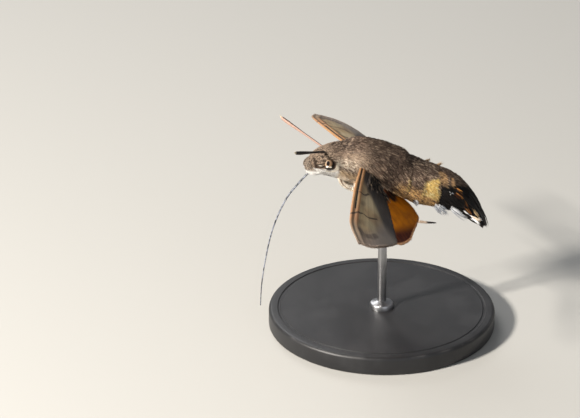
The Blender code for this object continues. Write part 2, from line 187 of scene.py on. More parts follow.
def tint(red, green, blue):
    """A colour as the eye reads it, 0 to 255, as the shader's own numbers."""
    return tuple(((part / 255.0 + 0.055) / 1.055) ** 2.4 if part > 10 else part / 3294.6
                 for part in (red, green, blue))


def soft_light(name, direction, distance, size, power, colour):
    lamp = bpy.data.lights.new(name, "AREA")
    lamp.size = size
    lamp.energy = power
    lamp.color = colour
    light = bpy.data.objects.new(name, lamp)
    away = Vector(direction).normalized()
    light.location = Vector(THORAX) + away * distance
    light.rotation_euler = away.to_track_quat("Z", "Y").to_euler()
    bpy.context.scene.collection.objects.link(light)


soft_light("key", (0.784, 0.335, 0.523), 0.50, 0.06, 5.5, (1.0, 0.94, 0.86))
soft_light("fill", (-0.35, 0.90, 0.45), 0.70, 0.50, 0.6, (0.93, 0.97, 1.0))
soft_light("rim", (0.20, -0.80, 0.70), 0.60, 0.30, 1.3, (1.0, 1.0, 1.0))

world = bpy.data.worlds.new("room")
world.use_nodes = True
world.node_tree.nodes["Background"].inputs["Color"].default_value = (0.92, 0.95, 1.0, 1.0)
world.node_tree.nodes["Background"].inputs["Strength"].default_value = 0.20
bpy.context.scene.world = world
bpy.context.scene.view_settings.view_transform = "Standard"

TABLE_HALF = 2.5
table_mesh = bpy.data.meshes.new("table_top")
table_mesh.from_pydata([(-TABLE_HALF, -TABLE_HALF, 0.0), (TABLE_HALF, -TABLE_HALF, 0.0),
                        (TABLE_HALF, TABLE_HALF, 0.0), (-TABLE_HALF, TABLE_HALF, 0.0)],
                       [], [(0, 1, 2, 3)])
table_top = bpy.data.objects.new("table_top", table_mesh)
bpy.context.scene.collection.objects.link(table_top)
table = Finish("pale table")
table_mesh.materials.append(table.end(tint(184, 183, 179), 0.85))


# ---------------------------------------------------------------------------
# Stand. A turned steel disc with a rounded rim under satin black paint, worn a
# little on its edge, and a slim brushed steel rod screwed into a low boss.
# ---------------------------------------------------------------------------
def add_piece(name, points, faces, marks=None):
    """A mesh object at the origin with its marks stored on its points."""
    mesh = bpy.data.meshes.new(name)
    mesh.from_pydata(np.asarray(points, dtype=float).tolist(), [], faces)
    for mark, values in (marks or {}).items():
        values = np.asarray(values, dtype=np.float32)
        kind, field = ("FLOAT_VECTOR", "vector") if values.ndim == 2 else ("FLOAT", "value")
        mesh.attributes.new(mark, kind, "POINT").data.foreach_set(field, values.ravel())
    mesh.shade_smooth()
    piece = bpy.data.objects.new(name, mesh)
    bpy.context.scene.collection.objects.link(piece)
    return piece


def ring_faces(rows, sides, first=0):
    """Quads between rows of closed rings, with the first ring's points counted from first."""
    faces = []
    for row in range(rows - 1):
        for side in range(sides):
            near = first + row * sides + side
            beside = first + row * sides + (side + 1) % sides
            faces.append((near, beside, beside + sides, near + sides))
    return faces


def closed_faces(rows, sides):
    """Rings of points closed by a pole at each end, the two poles being the last points."""
    faces = ring_faces(rows, sides)
    start, end = rows * sides, rows * sides + 1
    for side in range(sides):
        beside = (side + 1) % sides
        faces.append((start, beside, side))
        faces.append((end, (rows - 1) * sides + side, (rows - 1) * sides + beside))
    return faces


def turned(name, profile, sides):
    """A piece turned about the upright axis from a profile of radius and height."""
    angles = np.arange(sides) / sides * 2 * math.pi
    rings = [np.stack([radius * np.cos(angles), radius * np.sin(angles),
                       np.full(sides, height)], axis=1) for radius, height in profile[1:-1]]
    poles = [(0.0, 0.0, profile[0][1]), (0.0, 0.0, profile[-1][1])]
    piece = add_piece(name, np.vstack(rings + [poles]) * MM,
                      closed_faces(len(rings), sides))
    piece.data.set_sharp_from_angle(angle=math.radians(35))
    return piece


def wear(finish, spots):
    """Fine brushed grain and faint cloudy dirt over a stand piece."""
    place = finish.place()
    grain = finish.noise(finish.stretched(place, (1.0, 1.0, 0.04)), 9000.0, 2.0)
    cloud = finish.noise(place, spots, 4.0)
    return place, grain, cloud


base_low, base_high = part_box("stand_base")
BASE_RADIUS = base_high.x / MM
BASE_TOP = base_high.z / MM
RIM = [(math.cos(math.radians(turn)), math.sin(math.radians(turn))) for turn in range(-90, 91, 15)]
RIM_RADIUS = 0.55
base_profile = [(0.0, 0.0)]
base_profile += [(BASE_RADIUS - RIM_RADIUS + RIM_RADIUS * across,
                  RIM_RADIUS + RIM_RADIUS * rise) for across, rise in RIM[:7]]
base_profile += [(BASE_RADIUS - RIM_RADIUS + RIM_RADIUS * across,
                  BASE_TOP - RIM_RADIUS + RIM_RADIUS * rise) for across, rise in RIM[6:]]
base_profile += [(16.6, BASE_TOP), (16.45, BASE_TOP - 0.12), (16.2, BASE_TOP - 0.12),
                 (16.05, BASE_TOP), (2.2, BASE_TOP), (0.0, BASE_TOP)]
stand_base = turned("stand_disc", base_profile, 160)
black_paint = Finish("satin black paint")
place, grain, cloud = wear(black_paint, 220.0)
across, _, height = black_paint.parts(place)
distance = black_paint.node("ShaderNodeVectorMath", {"operation": "LENGTH"},
                            (black_paint.stretched(place, (1000.0, 1000.0, 0.0)),))[1]
edge = distance.band(BASE_RADIUS - 0.28, BASE_RADIUS - 0.14, 0.06) * cloud.step(0.45, 0.7)
stand_base.data.materials.append(black_paint.end(
    black_paint.mix(edge * 0.45, black_paint.mix(cloud.step(0.4, 0.7), tint(30, 30, 32),
                                                tint(40, 40, 42)), tint(96, 94, 92)),
    0.36 + cloud * 0.2, black_paint.bump(grain, 0.00002, 0.25)))
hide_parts("stand_base")
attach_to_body(stand_base, "root")

ROD_RADIUS = 0.7
rod_low, rod_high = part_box("stand_rod")
rod_profile = [(0.0, BASE_TOP - 0.4), (1.9, BASE_TOP - 0.4), (1.9, BASE_TOP + 0.5),
               (1.75, BASE_TOP + 0.72), (1.3, BASE_TOP + 0.8), (1.05, BASE_TOP + 0.9),
               (ROD_RADIUS, BASE_TOP + 1.05)]
rod_profile += [(ROD_RADIUS, BASE_TOP + 1.05 + (rod_high.z / MM - BASE_TOP - 1.05) * step / 8)
                for step in range(1, 8)]
rod_profile += [(ROD_RADIUS, rod_high.z / MM - 0.1), (ROD_RADIUS * 0.8, rod_high.z / MM + 0.25),
                (0.0, rod_high.z / MM + 0.3)]
stand_rod = turned("stand_post", rod_profile, 48)
steel = Finish("brushed steel")
place, grain, cloud = wear(steel, 500.0)
turning = steel.noise(steel.stretched(place, (0.15, 0.15, 1.0)), 14000.0, 2.0)
stand_rod.data.materials.append(steel.end(
    steel.mix(cloud, tint(150, 150, 152), tint(186, 186, 188)), 0.26 + turning * 0.16,
    steel.bump(turning, 0.00001, 0.3), Metallic=1.0))
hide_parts("stand_rod")
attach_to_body(stand_rod, "root")


# ---------------------------------------------------------------------------
# Skin. One closed surface from the face to the root of the tail fan, as deep
# under the coat's outline as the coat is thick, with the collar, the rings of
# the abdomen and the eye sockets pressed in. It carries the coat's markings.
# ---------------------------------------------------------------------------
PITCH = math.radians(6.4)
BODY_OUTLINE = (
    (8.75, -0.30, 0.50, 0.50, 0.60),
    (8.30, -0.10, 1.45, 1.40, 1.65),
    (7.20, 0.20, 2.10, 2.20, 2.30),
    (5.80, 0.40, 2.35, 2.85, 2.70),
    (4.30, 0.45, 2.60, 3.30, 3.00),
    (2.60, 0.35, 3.20, 4.00, 3.30),
    (0.50, 0.25, 3.65, 4.20, 3.65),
    (-2.20, -0.10, 3.75, 4.00, 3.90),
    (-5.00, -0.90, 3.75, 3.45, 3.70),
    (-8.00, -1.85, 3.90, 3.15, 3.40),
    (-11.00, -2.90, 3.95, 3.15, 3.10),
    (-13.80, -4.05, 3.80, 3.10, 2.60),
    (-16.40, -5.60, 3.60, 2.40, 1.80),
    (-18.50, -7.55, 3.60, 1.40, 1.10),
    (-19.90, -9.05, 3.30, 0.70, 0.60),
)
SKIN_END = 12.6
SKIN_ROWS = 220
SKIN_SIDES = 128
ABDOMEN_RINGS = (15.2, 17.85, 20.45, 22.9)
RING_LEAN = 2.5
EYE_RADIUS = 0.90
EYE_CENTRE = np.array((5.95, 1.76, 0.46))


def stand_up(points):
    """From the moth's own level frame in millimetres to the hover over the stand."""
    points = np.asarray(points, dtype=float) * MM
    turn = np.array(((math.cos(PITCH), 0.0, -math.sin(PITCH)), (0.0, 1.0, 0.0),
                     (math.sin(PITCH), 0.0, math.cos(PITCH))))
    return points @ turn.T + THORAX


def smooth_curve(rows, places):
    """Read a smooth curve through rows of numbers at places counted in rows."""
    rows = np.asarray(rows, dtype=float)
    last = len(rows) - 1
    ghost = np.vstack([2 * rows[0] - rows[1], rows, 2 * rows[-1] - rows[-2]])
    places = np.clip(np.asarray(places, dtype=float), 0.0, last)
    start = np.minimum(places.astype(int), last - 1)
    part = (places - start)[..., None]
    before, here, there, after = (ghost[start + step] for step in range(4))
    return 0.5 * (2 * here + (there - before) * part
                  + (2 * before - 5 * here + 4 * there - after) * part ** 2
                  + (3 * here - before - 3 * there + after) * part ** 3)


def unit(vectors):
    return vectors / np.maximum(np.linalg.norm(vectors, axis=-1, keepdims=True), 1e-12)


def body_surface(places, turns, grow=0.0):
    """Points of the coat's outline: places in rows of the outline, turns from the back's
    midline down the left side to the belly (pi) and up the right side."""
    rows = smooth_curve(BODY_OUTLINE, places)
    ahead = smooth_curve(BODY_OUTLINE, places + 0.02) - smooth_curve(BODY_OUTLINE, places - 0.02)
    along = unit(ahead[..., :2])
    up_x, up_z = along[..., 1], -along[..., 0]
    height = np.where(np.cos(turns) > 0, rows[..., 3], rows[..., 4]) + grow
    lift = height * np.cos(turns)
    return np.stack([rows[..., 0] + up_x * lift, (rows[..., 2] + grow) * np.sin(turns),
                     rows[..., 1] + up_z * lift], axis=-1)


def walked(places):
    """Millimetres along the body's middle line from the face to places on the outline."""
    fine = np.linspace(0.0, len(BODY_OUTLINE) - 1.0, 800)
    line = smooth_curve(BODY_OUTLINE, fine)[:, :2]
    steps = np.linalg.norm(np.diff(line, axis=0), axis=1)
    return np.interp(places, fine, np.concatenate([[0.0], np.cumsum(steps)]))


def soft_step(values, low, high):
    share = np.clip((values - low) / (high - low), 0.0, 1.0)
    return share * share * (3 - 2 * share)


def hump(values, middle, half):
    """A smooth rise to 1 at the middle and back to 0 a half width away on both sides."""
    return np.cos(np.clip((values - middle) / half, -1.0, 1.0) * math.pi / 2) ** 2


def coat_depth(along, around):
    """How deep the skin lies under the outline, in millimetres."""
    depth = np.interp(along, (0.0, 1.0, 4.0, 6.0, 13.0, 15.0, 23.0, 27.0),
                      (0.12, 0.16, 0.28, 0.42, 0.42, 0.30, 0.30, 0.55))
    for ring in ABDOMEN_RINGS:
        behind = along - (around - 0.4) * RING_LEAN - ring
        depth = depth + 0.14 * np.where(behind > 0, np.exp(-behind / 0.5), 0.0)
    depth = depth + 0.08 * hump(along, 4.7, 0.7) * (1 - soft_step(around, 0.5, 0.7))
    depth = depth - 0.20 * hump(along, 7.6, 2.2) * hump(around, 0.34, 0.2)
    depth = depth - 0.26 * soft_step(around, 0.55, 0.75) * soft_step(along, 13.0, 16.0)
    depth = depth - 0.22 * hump(along, 18.2, 3.6) * soft_step(around, 0.58, 0.72)
    return depth


skin_places = SKIN_END * np.linspace(0.0, 1.0, SKIN_ROWS) ** 1.15
skin_turns = np.arange(SKIN_SIDES) / SKIN_SIDES * 2 * math.pi
place_grid, turn_grid = np.meshgrid(skin_places, skin_turns, indexing="ij")
along_grid = walked(place_grid)
around_grid = np.where(turn_grid <= math.pi, turn_grid, 2 * math.pi - turn_grid) / math.pi
tail_pinch = 1.0 - 0.55 * soft_step(place_grid, 11.6, SKIN_END)
outline = body_surface(place_grid, turn_grid)
skin_points = body_surface(place_grid, turn_grid, -coat_depth(along_grid, around_grid))
axis_points = smooth_curve(BODY_OUTLINE, place_grid)
axis_points = np.stack([axis_points[..., 0], np.zeros_like(place_grid), axis_points[..., 1]], axis=-1)
skin_points = axis_points + (skin_points - axis_points) * np.stack(
    [tail_pinch ** 0.3, tail_pinch, tail_pinch ** 0.3], axis=-1)
mirror = np.abs(skin_points) * (0, 1, 0) + skin_points * (1, 0, 1)
from_eye = mirror - EYE_CENTRE
eye_distance = np.linalg.norm(from_eye, axis=-1)
socket = np.clip(EYE_RADIUS + 0.04 - eye_distance, 0.0, 0.55)
skin_points[..., 1] -= np.sign(skin_points[..., 1]) * socket

# How the coat lies: back along the body and downwards on the sides
run = unit(np.gradient(outline, axis=0))
down = np.roll(outline, -1, axis=1) - np.roll(outline, 1, axis=1)
down = unit(down) * np.where(turn_grid <= math.pi, 1.0, -1.0)[..., None]
side_share = np.sin(around_grid * math.pi)[..., None]
swing = np.interp(along_grid, (0.0, 3.0, 5.0, 8.0, 13.0, 15.0, 22.0, 27.0),
                  (0.05, 0.15, 0.30, 0.55, 0.60, 0.35, 0.30, 0.30))[..., None]
comb = unit(run * np.cos(swing * side_share) + down * np.sin(swing * side_share))
tuft_length = np.interp(along_grid, (0.0, 1.5, 3.0, 4.4, 6.0, 11.0, 14.0, 16.0, 24.0, 27.0),
                        (0.20, 0.24, 0.32, 0.50, 0.90, 1.25, 1.05, 0.80, 0.95, 1.6))
wing_root = hump(along_grid, 9.4, 2.2) * hump(around_grid, 0.47, 0.17)
tuft_length = tuft_length + 1.0 * wing_root
tuft_lift = np.interp(along_grid, (0.0, 4.0, 8.0, 14.0, 22.0, 27.0),
                      (0.26, 0.20, 0.16, 0.16, 0.15, 0.05)) - 0.08 * wing_root
belly = hump(along_grid, 18.2, 3.6) * soft_step(around_grid, 0.58, 0.72)
crest = hump(along_grid, 12.8, 1.8) * (1 - soft_step(around_grid, 0.2, 0.4))
tuft_lift = tuft_lift + 0.16 * belly + 0.26 * crest
tuft_length = tuft_length + 0.3 * crest
cover = np.where(eye_distance < EYE_RADIUS + 0.10, 0.0, 1.0)

front = stand_up(skin_points[0].mean(axis=0) + (0.12, 0.0, 0.0))
rear = stand_up(skin_points[-1].mean(axis=0) + (-0.3, 0.0, -0.2))
grid_count = SKIN_ROWS * SKIN_SIDES


def with_poles(values, front_value, rear_value):
    flat = values.reshape(grid_count, -1) if values.ndim == 3 else values.reshape(grid_count)
    return np.concatenate([flat, np.atleast_1d(front_value)[None, :] if values.ndim == 3
                           else np.atleast_1d(front_value),
                           np.atleast_1d(rear_value)[None, :] if values.ndim == 3
                           else np.atleast_1d(rear_value)])


pitch_only = stand_up(np.eye(3)) - stand_up(np.zeros((3, 3)))
comb_row = unit(comb @ (pitch_only / MM))
body_mark = np.stack([along_grid, around_grid, np.zeros_like(along_grid)], axis=-1)
skin = add_piece(
    "skin", np.vstack([stand_up(skin_points.reshape(-1, 3)), front, rear]),
    closed_faces(SKIN_ROWS, SKIN_SIDES),
    {"mark": with_poles(body_mark, (0.0, 0.5, 0.0), (along_grid.max(), 0.5, 0.0)),
     "spot": with_poles(mirror, mirror[0].mean(axis=0), mirror[-1].mean(axis=0)),
     "comb": with_poles(comb_row, comb_row[0, 0], comb_row[-1, 0]),
     "long": with_poles(tuft_length * MM, tuft_length.min() * MM, tuft_length[-1, 0] * MM),
     "lift": with_poles(tuft_lift, tuft_lift[0, 0], tuft_lift[-1, 0]),
     "cover": with_poles(cover, 1.0, 1.0)})


def unwrap_rings(piece, rows, sides):
    """Lay closed rings out flat: round the piece in one direction, along it in the other."""
    chart = piece.data.uv_layers.new(name="OFBake")
    loops = np.empty(len(piece.data.loops), dtype=np.int64)
    piece.data.loops.foreach_get("vertex_index", loops)
    row, side = loops // sides, loops % sides
    across = side / sides
    starts = np.empty(len(piece.data.polygons), dtype=np.int64)
    piece.data.polygons.foreach_get("loop_start", starts)
    ends = np.append(starts[1:], len(loops))
    for start, end in zip(starts, ends):
        used = across[start:end]
        if used.max() - used.min() > 0.5:
            used[used < 0.5] += 1.0
    across = np.where(loops >= rows * sides, 0.5, across)
    lengthways = np.where(loops == rows * sides + 1, 1.0, np.minimum(row / (rows - 1), 1.0))
    lengthways = np.where(loops == rows * sides, 0.0, lengthways)
    flat = np.stack([0.01 + 0.97 * lengthways, 0.01 + 0.97 * across / (1 + 1 / sides)], axis=1)
    chart.data.foreach_set("uv", flat.ravel().astype(np.float32))


unwrap_rings(skin, SKIN_ROWS, SKIN_SIDES)

FUR_DARK = tint(72, 58, 50)
FUR_BROWN = tint(136, 113, 97)
FUR_BEIGE = tint(200, 176, 152)
FUR_CREAM = tint(236, 226, 208)
THROAT_WHITE = tint(250, 248, 244)
PATCH_YELLOW = tint(250, 222, 142)
PATCH_TAN = tint(206, 164, 116)
RUMP_BLACK = tint(11, 9, 9)
EYE_LINE = tint(48, 32, 22)


def coat_colour(finish):
    """The markings of the moth's coat, alike on the skin and on each tuft by its root's place."""
    along, around, _ = finish.parts(finish.mark("mark")[0])
    spot = finish.mark("spot")[0]
    ahead, aside, height = finish.parts(spot)
    tone = finish.mark("tone")[1]
    patchy = finish.noise(spot, 0.9, 4.0, 0.6)
    streaks = finish.noise(finish.stretched(spot, (0.5, 1.6, 1.6)), 2.2, 4.0, 0.65)
    ragged = (patchy - 0.5) * 1.2

    shade = (tone * 0.45 + streaks * 1.6 - 0.50).step(0.0, 0.9)
    colour = finish.mix(shade, FUR_DARK, FUR_BROWN)
    colour = finish.mix((tone * 0.8 + patchy * 0.9).step(0.92, 1.25) * 0.8, colour, FUR_BEIGE)
    # pale mottled face with dark specks, and a painted highlight of pale strands on the shoulder over the wing's root
    face = 1 - along.step(2.6, 5.0)
    colour = finish.mix(face * (tone * 0.5 + streaks * 1.2 - 0.4).step(0.05, 0.70) * 0.85, colour, FUR_BEIGE)
    nape = along.band(2.8, 5.8, 0.6) * (1 - around.step(0.16, 0.30))
    colour = finish.mix(nape * (tone * 0.4 + streaks).step(1.05, 0.50) * 0.95, colour, FUR_DARK)
    specks = finish.noise(spot, 3.4, 1.0).step(0.54, 0.58) * face * around.band(0.2, 0.56, 0.06)
    colour = finish.mix(specks * 0.9, colour, EYE_LINE)
    groove = (ahead - height * 0.30).band(7.90, 8.22, 0.07) * height.band(-0.5, 1.1, 0.2)
    colour = finish.mix(groove * 0.95, colour, EYE_LINE)
    # Painted highlight: some strands on the shoulder are lightened to beige.
    shoulder = along.band(4.2, 8.6, 1.0) * around.band(0.26, 0.50, 0.08)
    colour = finish.mix(shoulder * (tone * 0.5 + streaks).step(0.30, 0.85) * 0.75, colour, FUR_BEIGE)
    # painted highlight on the cheeks and collar: some strands there are lightened to cream
    collar = along.band(3.4, 7.2, 1.0) * around.band(0.37, 0.54, 0.07)
    colour = finish.mix(collar * (tone * 0.6 + streaks * 0.9).step(0.60, 1.0) * 0.7, colour, FUR_CREAM)
    # darker rear of the thorax and front of the abdomen
    mantle = (along + ragged).band(7.8, 12.5, 1.0) * (1 - (around + ragged * 0.05).step(0.24, 0.42))
    colour = finish.mix(mantle * 0.8, colour, tint(72, 59, 50))
    saddle = (along + ragged).band(10.6, 16.6, 1.2) * (1 - around.step(0.28, 0.48))
    colour = finish.mix(saddle * 0.5, colour, FUR_DARK)
    waist = (along + ragged).band(10.8, 13.4, 0.9) * around.band(0.25, 0.60, 0.06)
    colour = finish.mix(waist * 0.55, colour, FUR_DARK)
    # dark back of the abdomen
    ridge = (1 - (around + ragged * 0.08).step(0.12, 0.34)) * along.step(12.5, 15.5)
    colour = finish.mix(ridge * 0.55, colour, tint(38, 30, 27))
    glint = tone.step(0.80, 0.97) * (along.step(5.0, 8.0) * 0.3 + along.step(13.0, 16.0) * 0.35)
    colour = finish.mix(glint, colour, FUR_BEIGE)
    # golden lower side of the abdomen, cream breast
    golden = (around + ragged * 0.10).step(0.44, 0.62) * along.step(12.5, 15.0)
    colour = finish.mix(golden * (tone * 0.7 + streaks * 0.8).step(0.40, 0.90) * 0.9, colour,
                        finish.mix(tone, tint(170, 124, 78), tint(236, 192, 124)))
    breast = (around + ragged * 0.08).step(0.60, 0.68) * (1 - along.step(9.0, 13.0))
    colour = finish.mix(breast, colour, finish.mix((tone + patchy * 0.6).step(0.2, 1.2), FUR_CREAM,
                                                   FUR_BEIGE))
    # golden-brown patch between the throat and the wing's root
    apron = along.band(4.3, 7.4, 0.3) * (around + ragged * 0.04).band(0.57, 0.71, 0.04)
    colour = finish.mix(apron * 0.85, colour, finish.mix((tone * 0.7 + streaks * 0.8).step(0.3, 0.9),
                                                         tint(110, 82, 56), tint(216, 190, 156)))
    # white throat from the palps to the neck
    throat = (around + ragged * 0.05).step(0.565, 0.60) * (1 - (along + ragged * 0.8).step(3.7, 4.7))
    colour = finish.mix(throat, colour, finish.mix((tone * 0.6 + streaks).step(0.4, 0.9),
                                                   tint(186, 176, 168), THROAT_WHITE))
    # yellow and tan patches on the sides of the abdomen
    lean = along - (around - 0.4) * RING_LEAN + ragged * 0.3
    first = lean.band(17.75, 20.0, 0.07) * (around + lean * 0.066 + ragged * 0.04).step(1.53, 1.58)
    first = first * (1 - (around + ragged * 0.05).step(0.57, 0.63))
    second = lean.band(20.2, 21.6, 0.10) * (around + ragged * 0.08).band(0.10, 0.31, 0.03)
    third = lean.band(22.2, 22.6, 0.08) * (around + ragged * 0.05).band(0.15, 0.28, 0.03)
    yellow = finish.mix((tone * 0.6 + streaks * 0.6).step(0.25, 0.8), tint(214, 172, 100), PATCH_YELLOW)
    yellow = finish.mix((tone * 0.6 + patchy).step(0.85, 1.15), yellow, tint(250, 238, 186))
    # black side of the rear rings and black rump
    black = lean.step(20.3, 20.5) * (around + lean * 0.05 + ragged * 0.04).step(1.34, 1.40)
    black = black.math("MAXIMUM", (along + around * 2.0 + ragged * 0.5).step(24.2, 25.2))
    colour = finish.mix(black, colour, finish.mix((tone * 0.7 + streaks * 0.6).step(0.7, 1.2),
                                                  RUMP_BLACK, tint(42, 34, 30)))
    colour = finish.mix(second * (tone * 0.6 + streaks).step(0.35, 0.75), colour,
                        finish.mix(tone.step(0.2, 0.8), tint(104, 72, 44), tint(226, 186, 136)))
    colour = finish.mix(third * 0.8, colour, PATCH_TAN)
    colour = finish.mix(first, colour, yellow)
    # dark and pale rings of scales between the abdomen's segments
    for ring in ABDOMEN_RINGS:
        seam = (lean - ring).math("ABSOLUTE").step(0.16, 0.05) * around.step(0.25, 0.4) * (1 - first)
        colour = finish.mix(seam * 0.5, colour, EYE_LINE)
        pale = (lean - ring + 0.22).math("ABSOLUTE").step(0.14, 0.06) * around.band(0.40, 0.64, 0.03)
        colour = finish.mix(pale * 0.45 * (1 - black), colour, PATCH_YELLOW)
    # dark line round the eye and forward to the palp
    eye_gap = finish.node("ShaderNodeVectorMath", {"operation": "DISTANCE"},
                          (spot, tuple(EYE_CENTRE)))[1]
    rim = (1 - eye_gap.step(EYE_RADIUS + 0.08, EYE_RADIUS + 0.18))
    # The dark ring is made stronger on the eye's lower rear side: painted shade.
    rim = rim * (0.45 + 0.4 * (EYE_CENTRE[0] - ahead - (height - EYE_CENTRE[2])).step(0.0, 0.7))
    line = (1 - (height - 0.02 + (ahead - 7.0) * 0.12).math("ABSOLUTE").step(0.07, 0.17))
    line = line * ahead.band(6.8, 8.0, 0.10)
    upper = 1 - (height - 0.50 + (ahead - 7.2) * 0.5).math("ABSOLUTE").step(0.05, 0.14)
    line = line.math("MAXIMUM", upper * ahead.band(6.75, 8.05, 0.08)) * aside.step(0.9, 1.3)
    ring = eye_gap.band(EYE_RADIUS + 0.18, EYE_RADIUS + 0.44, 0.05) * (EYE_CENTRE[0] - ahead - (height - EYE_CENTRE[2])).step(0.3, 0.8)
    colour = finish.mix(ring * 0.85, colour, FUR_CREAM)
    spot_under = ((ahead - 7.45) * (ahead - 7.45) * 3.0 + (height - 0.17) * (height - 0.17) * 12.0).step(0.10, 0.35)
    colour = finish.mix((1 - spot_under) * 0.85, colour, FUR_CREAM)
    return finish.mix(rim.math("MAXIMUM", line), colour, EYE_LINE), tone


skin_finish = Finish("coat skin")
# The skin carries no tone mark, so its markings come out darker than on the tufts: painted shade under the coat.
skin_tone, _ = coat_colour(skin_finish)
skin_grain = skin_finish.noise(skin_finish.place(), 9000.0, 3.0)
skin.data.materials.append(skin_finish.end(skin_tone, 0.85,
                                           skin_finish.bump(skin_grain, 0.00006, 0.6)))
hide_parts("head", "thorax", "abdomen", "tail_fan")
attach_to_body(skin, "root")


# ---------------------------------------------------------------------------
# Coat. Long hair-like scales lie in overlapping tufts from the face back over
# the thorax and down the sides. Each tuft is a closed three-sided sliver that
# keeps the markings and the chart place of the spot where it is rooted.
# ---------------------------------------------------------------------------
CHART_PATCH = 0.003


def blade(name, stations):
    """A closed sliver of unit length along X from rows of place, half width, height and rise."""
    points, faces, share = [], [], []
    for place, half, height, rise in stations[:-1]:
        points += [(place, half, rise), (place, -half, rise), (place, 0.0, rise + height)]
        share += [(place, 1.0, 0.0), (place, 0.0, 0.0), (place, 0.5, 0.0)]
    place, _, _, rise = stations[-1]
    points.append((place, 0.0, rise))
    share.append((place, 0.5, 0.0))
    faces.append((0, 1, 2))
    rows = len(stations) - 1
    for row in range(rows - 1):
        for side in range(3):
            near, beside = row * 3 + side, row * 3 + (side + 1) % 3
            faces.append((near, near + 3, beside + 3, beside))
    last = rows * 3 - 3
    faces += [(last + side, last + 3, last + (side + 1) % 3) for side in range(3)]
    piece = add_piece(name, points, faces, {"blade": share})
    piece.hide_render = True
    return piece


hair_tuft = blade("hair_tuft", ((0.0, 0.32, 0.03, 0.0), (0.35, 0.5, 0.045, 0.07),
                                (0.75, 0.34, 0.03, 0.06), (1.0, 0.0, 0.0, -0.02)))


def tuft_tree(name, scattered):
    """Tufts on a surface (scattered) or on single points, aligned to the way the coat lies."""
    tree = bpy.data.node_groups.new(name, "GeometryNodeTree")
    for socket, kind in (("Geometry", "Geometry"), ("Tuft", "Object"), ("Finish", "Material"),
                         ("Per square metre", "Float"), ("Width", "Float"), ("Spread", "Float"),
                         ("From", "Float"), ("To", "Float"), ("Seed", "Int")):
        tree.interface.new_socket(socket, in_out="INPUT", socket_type="NodeSocket" + kind)
    tree.interface.new_socket("Geometry", in_out="OUTPUT", socket_type="NodeSocketGeometry")
    work = Work(tree)
    ground, tuft, finish, density, width, spread, first, last, seed = work.node("NodeGroupInput")[:9]

    def vector_mark(mark):
        return work.node("GeometryNodeInputNamedAttribute", {"data_type": "FLOAT_VECTOR"}, (mark,))[0]

    def number_mark(mark):
        return work.node("GeometryNodeInputNamedAttribute", {"data_type": "FLOAT"}, (mark,))[0]

    def vector(operation, *sockets):
        return work.node("ShaderNodeVectorMath", {"operation": operation}, sockets)[0]

    def random(low, high, shift):
        return work.node("FunctionNodeRandomValue", {"data_type": "FLOAT"},
                         {2: low, 3: high, "Seed": seed + shift})[1]

    def store(geometry, mark, kind, domain, value):
        return work.node("GeometryNodeStoreNamedAttribute", {"data_type": kind, "domain": domain},
                         {0: geometry, "Name": mark, "Value": value})[0]

    if scattered:
        along = work.node("ShaderNodeSeparateXYZ", None, (vector_mark("mark"),))[0]
        wanted = (along.math("GREATER_THAN", first) * along.math("LESS_THAN", last)
                  * number_mark("cover") * density)
        points, normal, _ = work.node("GeometryNodeDistributePointsOnFaces", None,
                                      {"Mesh": ground, "Density": wanted, "Seed": seed})
    else:
        points = work.node("GeometryNodeMeshToPoints", None, (ground,))[0]
        normal = vector_mark("outward")
    points = store(points, "tone", "FLOAT", "POINT", random(0.0, 1.0, 11))
    points = store(points, "root_chart", "FLOAT_VECTOR", "POINT", vector_mark("OFBake"))
    points = store(points, "outward", "FLOAT_VECTOR", "POINT", normal)

    clump = work.node("ShaderNodeTexNoise", None, {
        "Vector": work.node("GeometryNodeInputPosition")[0], "Scale": 1100.0, "Detail": 1.0})[1]
    stray = work.node("FunctionNodeRandomValue", {"data_type": "FLOAT_VECTOR"},
                      {0: (-1.0, -1.0, -1.0), 1: (1.0, 1.0, 1.0), "Seed": seed + 5})[0]
    swirl = vector("SCALE", vector("SUBTRACT", clump, (0.5, 0.5, 0.5)))
    swirl.socket.node.inputs["Scale"].default_value = 1.6
    swirl = work.node("ShaderNodeVectorMath", {"operation": "SCALE"},
                      {0: vector("ADD", swirl, stray), "Scale": spread})[0]
    risen = work.node("ShaderNodeVectorMath", {"operation": "SCALE"},
                      {0: vector_mark("outward"), "Scale": number_mark("lift")})[0]
    heading = vector("NORMALIZE", vector("ADD", vector("ADD", vector_mark("comb"), swirl), risen))
    turn = work.node("FunctionNodeAxesToRotation", {"primary_axis": "X", "secondary_axis": "Z"},
                     (heading, vector_mark("outward")))[0]
    length = number_mark("long") * random(0.65, 1.15, 2)
    wide = width * random(0.7, 1.2, 3)
    size = work.node("ShaderNodeCombineXYZ", None, (length, wide, length))[0]
    set_out = work.node("GeometryNodeInstanceOnPoints", None, {
        "Points": points, "Instance": work.node("GeometryNodeObjectInfo", None, (tuft,))[4],
        "Rotation": turn, "Scale": size})[0]
    whole = work.node("GeometryNodeRealizeInstances", None, (set_out,))[0]
    patch = work.node("ShaderNodeVectorMath", {"operation": "SCALE"},
                      {0: vector_mark("blade"), "Scale": CHART_PATCH})[0]
    whole = store(whole, "OFBake", "FLOAT2", "CORNER", vector("ADD", vector_mark("root_chart"), patch))
    whole = work.node("GeometryNodeSetMaterial", None, {"Geometry": whole, "Material": finish})[0]
    end = work.node("NodeGroupOutput")
    tree.links.new(whole.socket, tree.nodes[-1].inputs[0])
    return tree


scatter = tuft_tree("tufts over a surface", True)
planted = tuft_tree("tufts at set points", False)


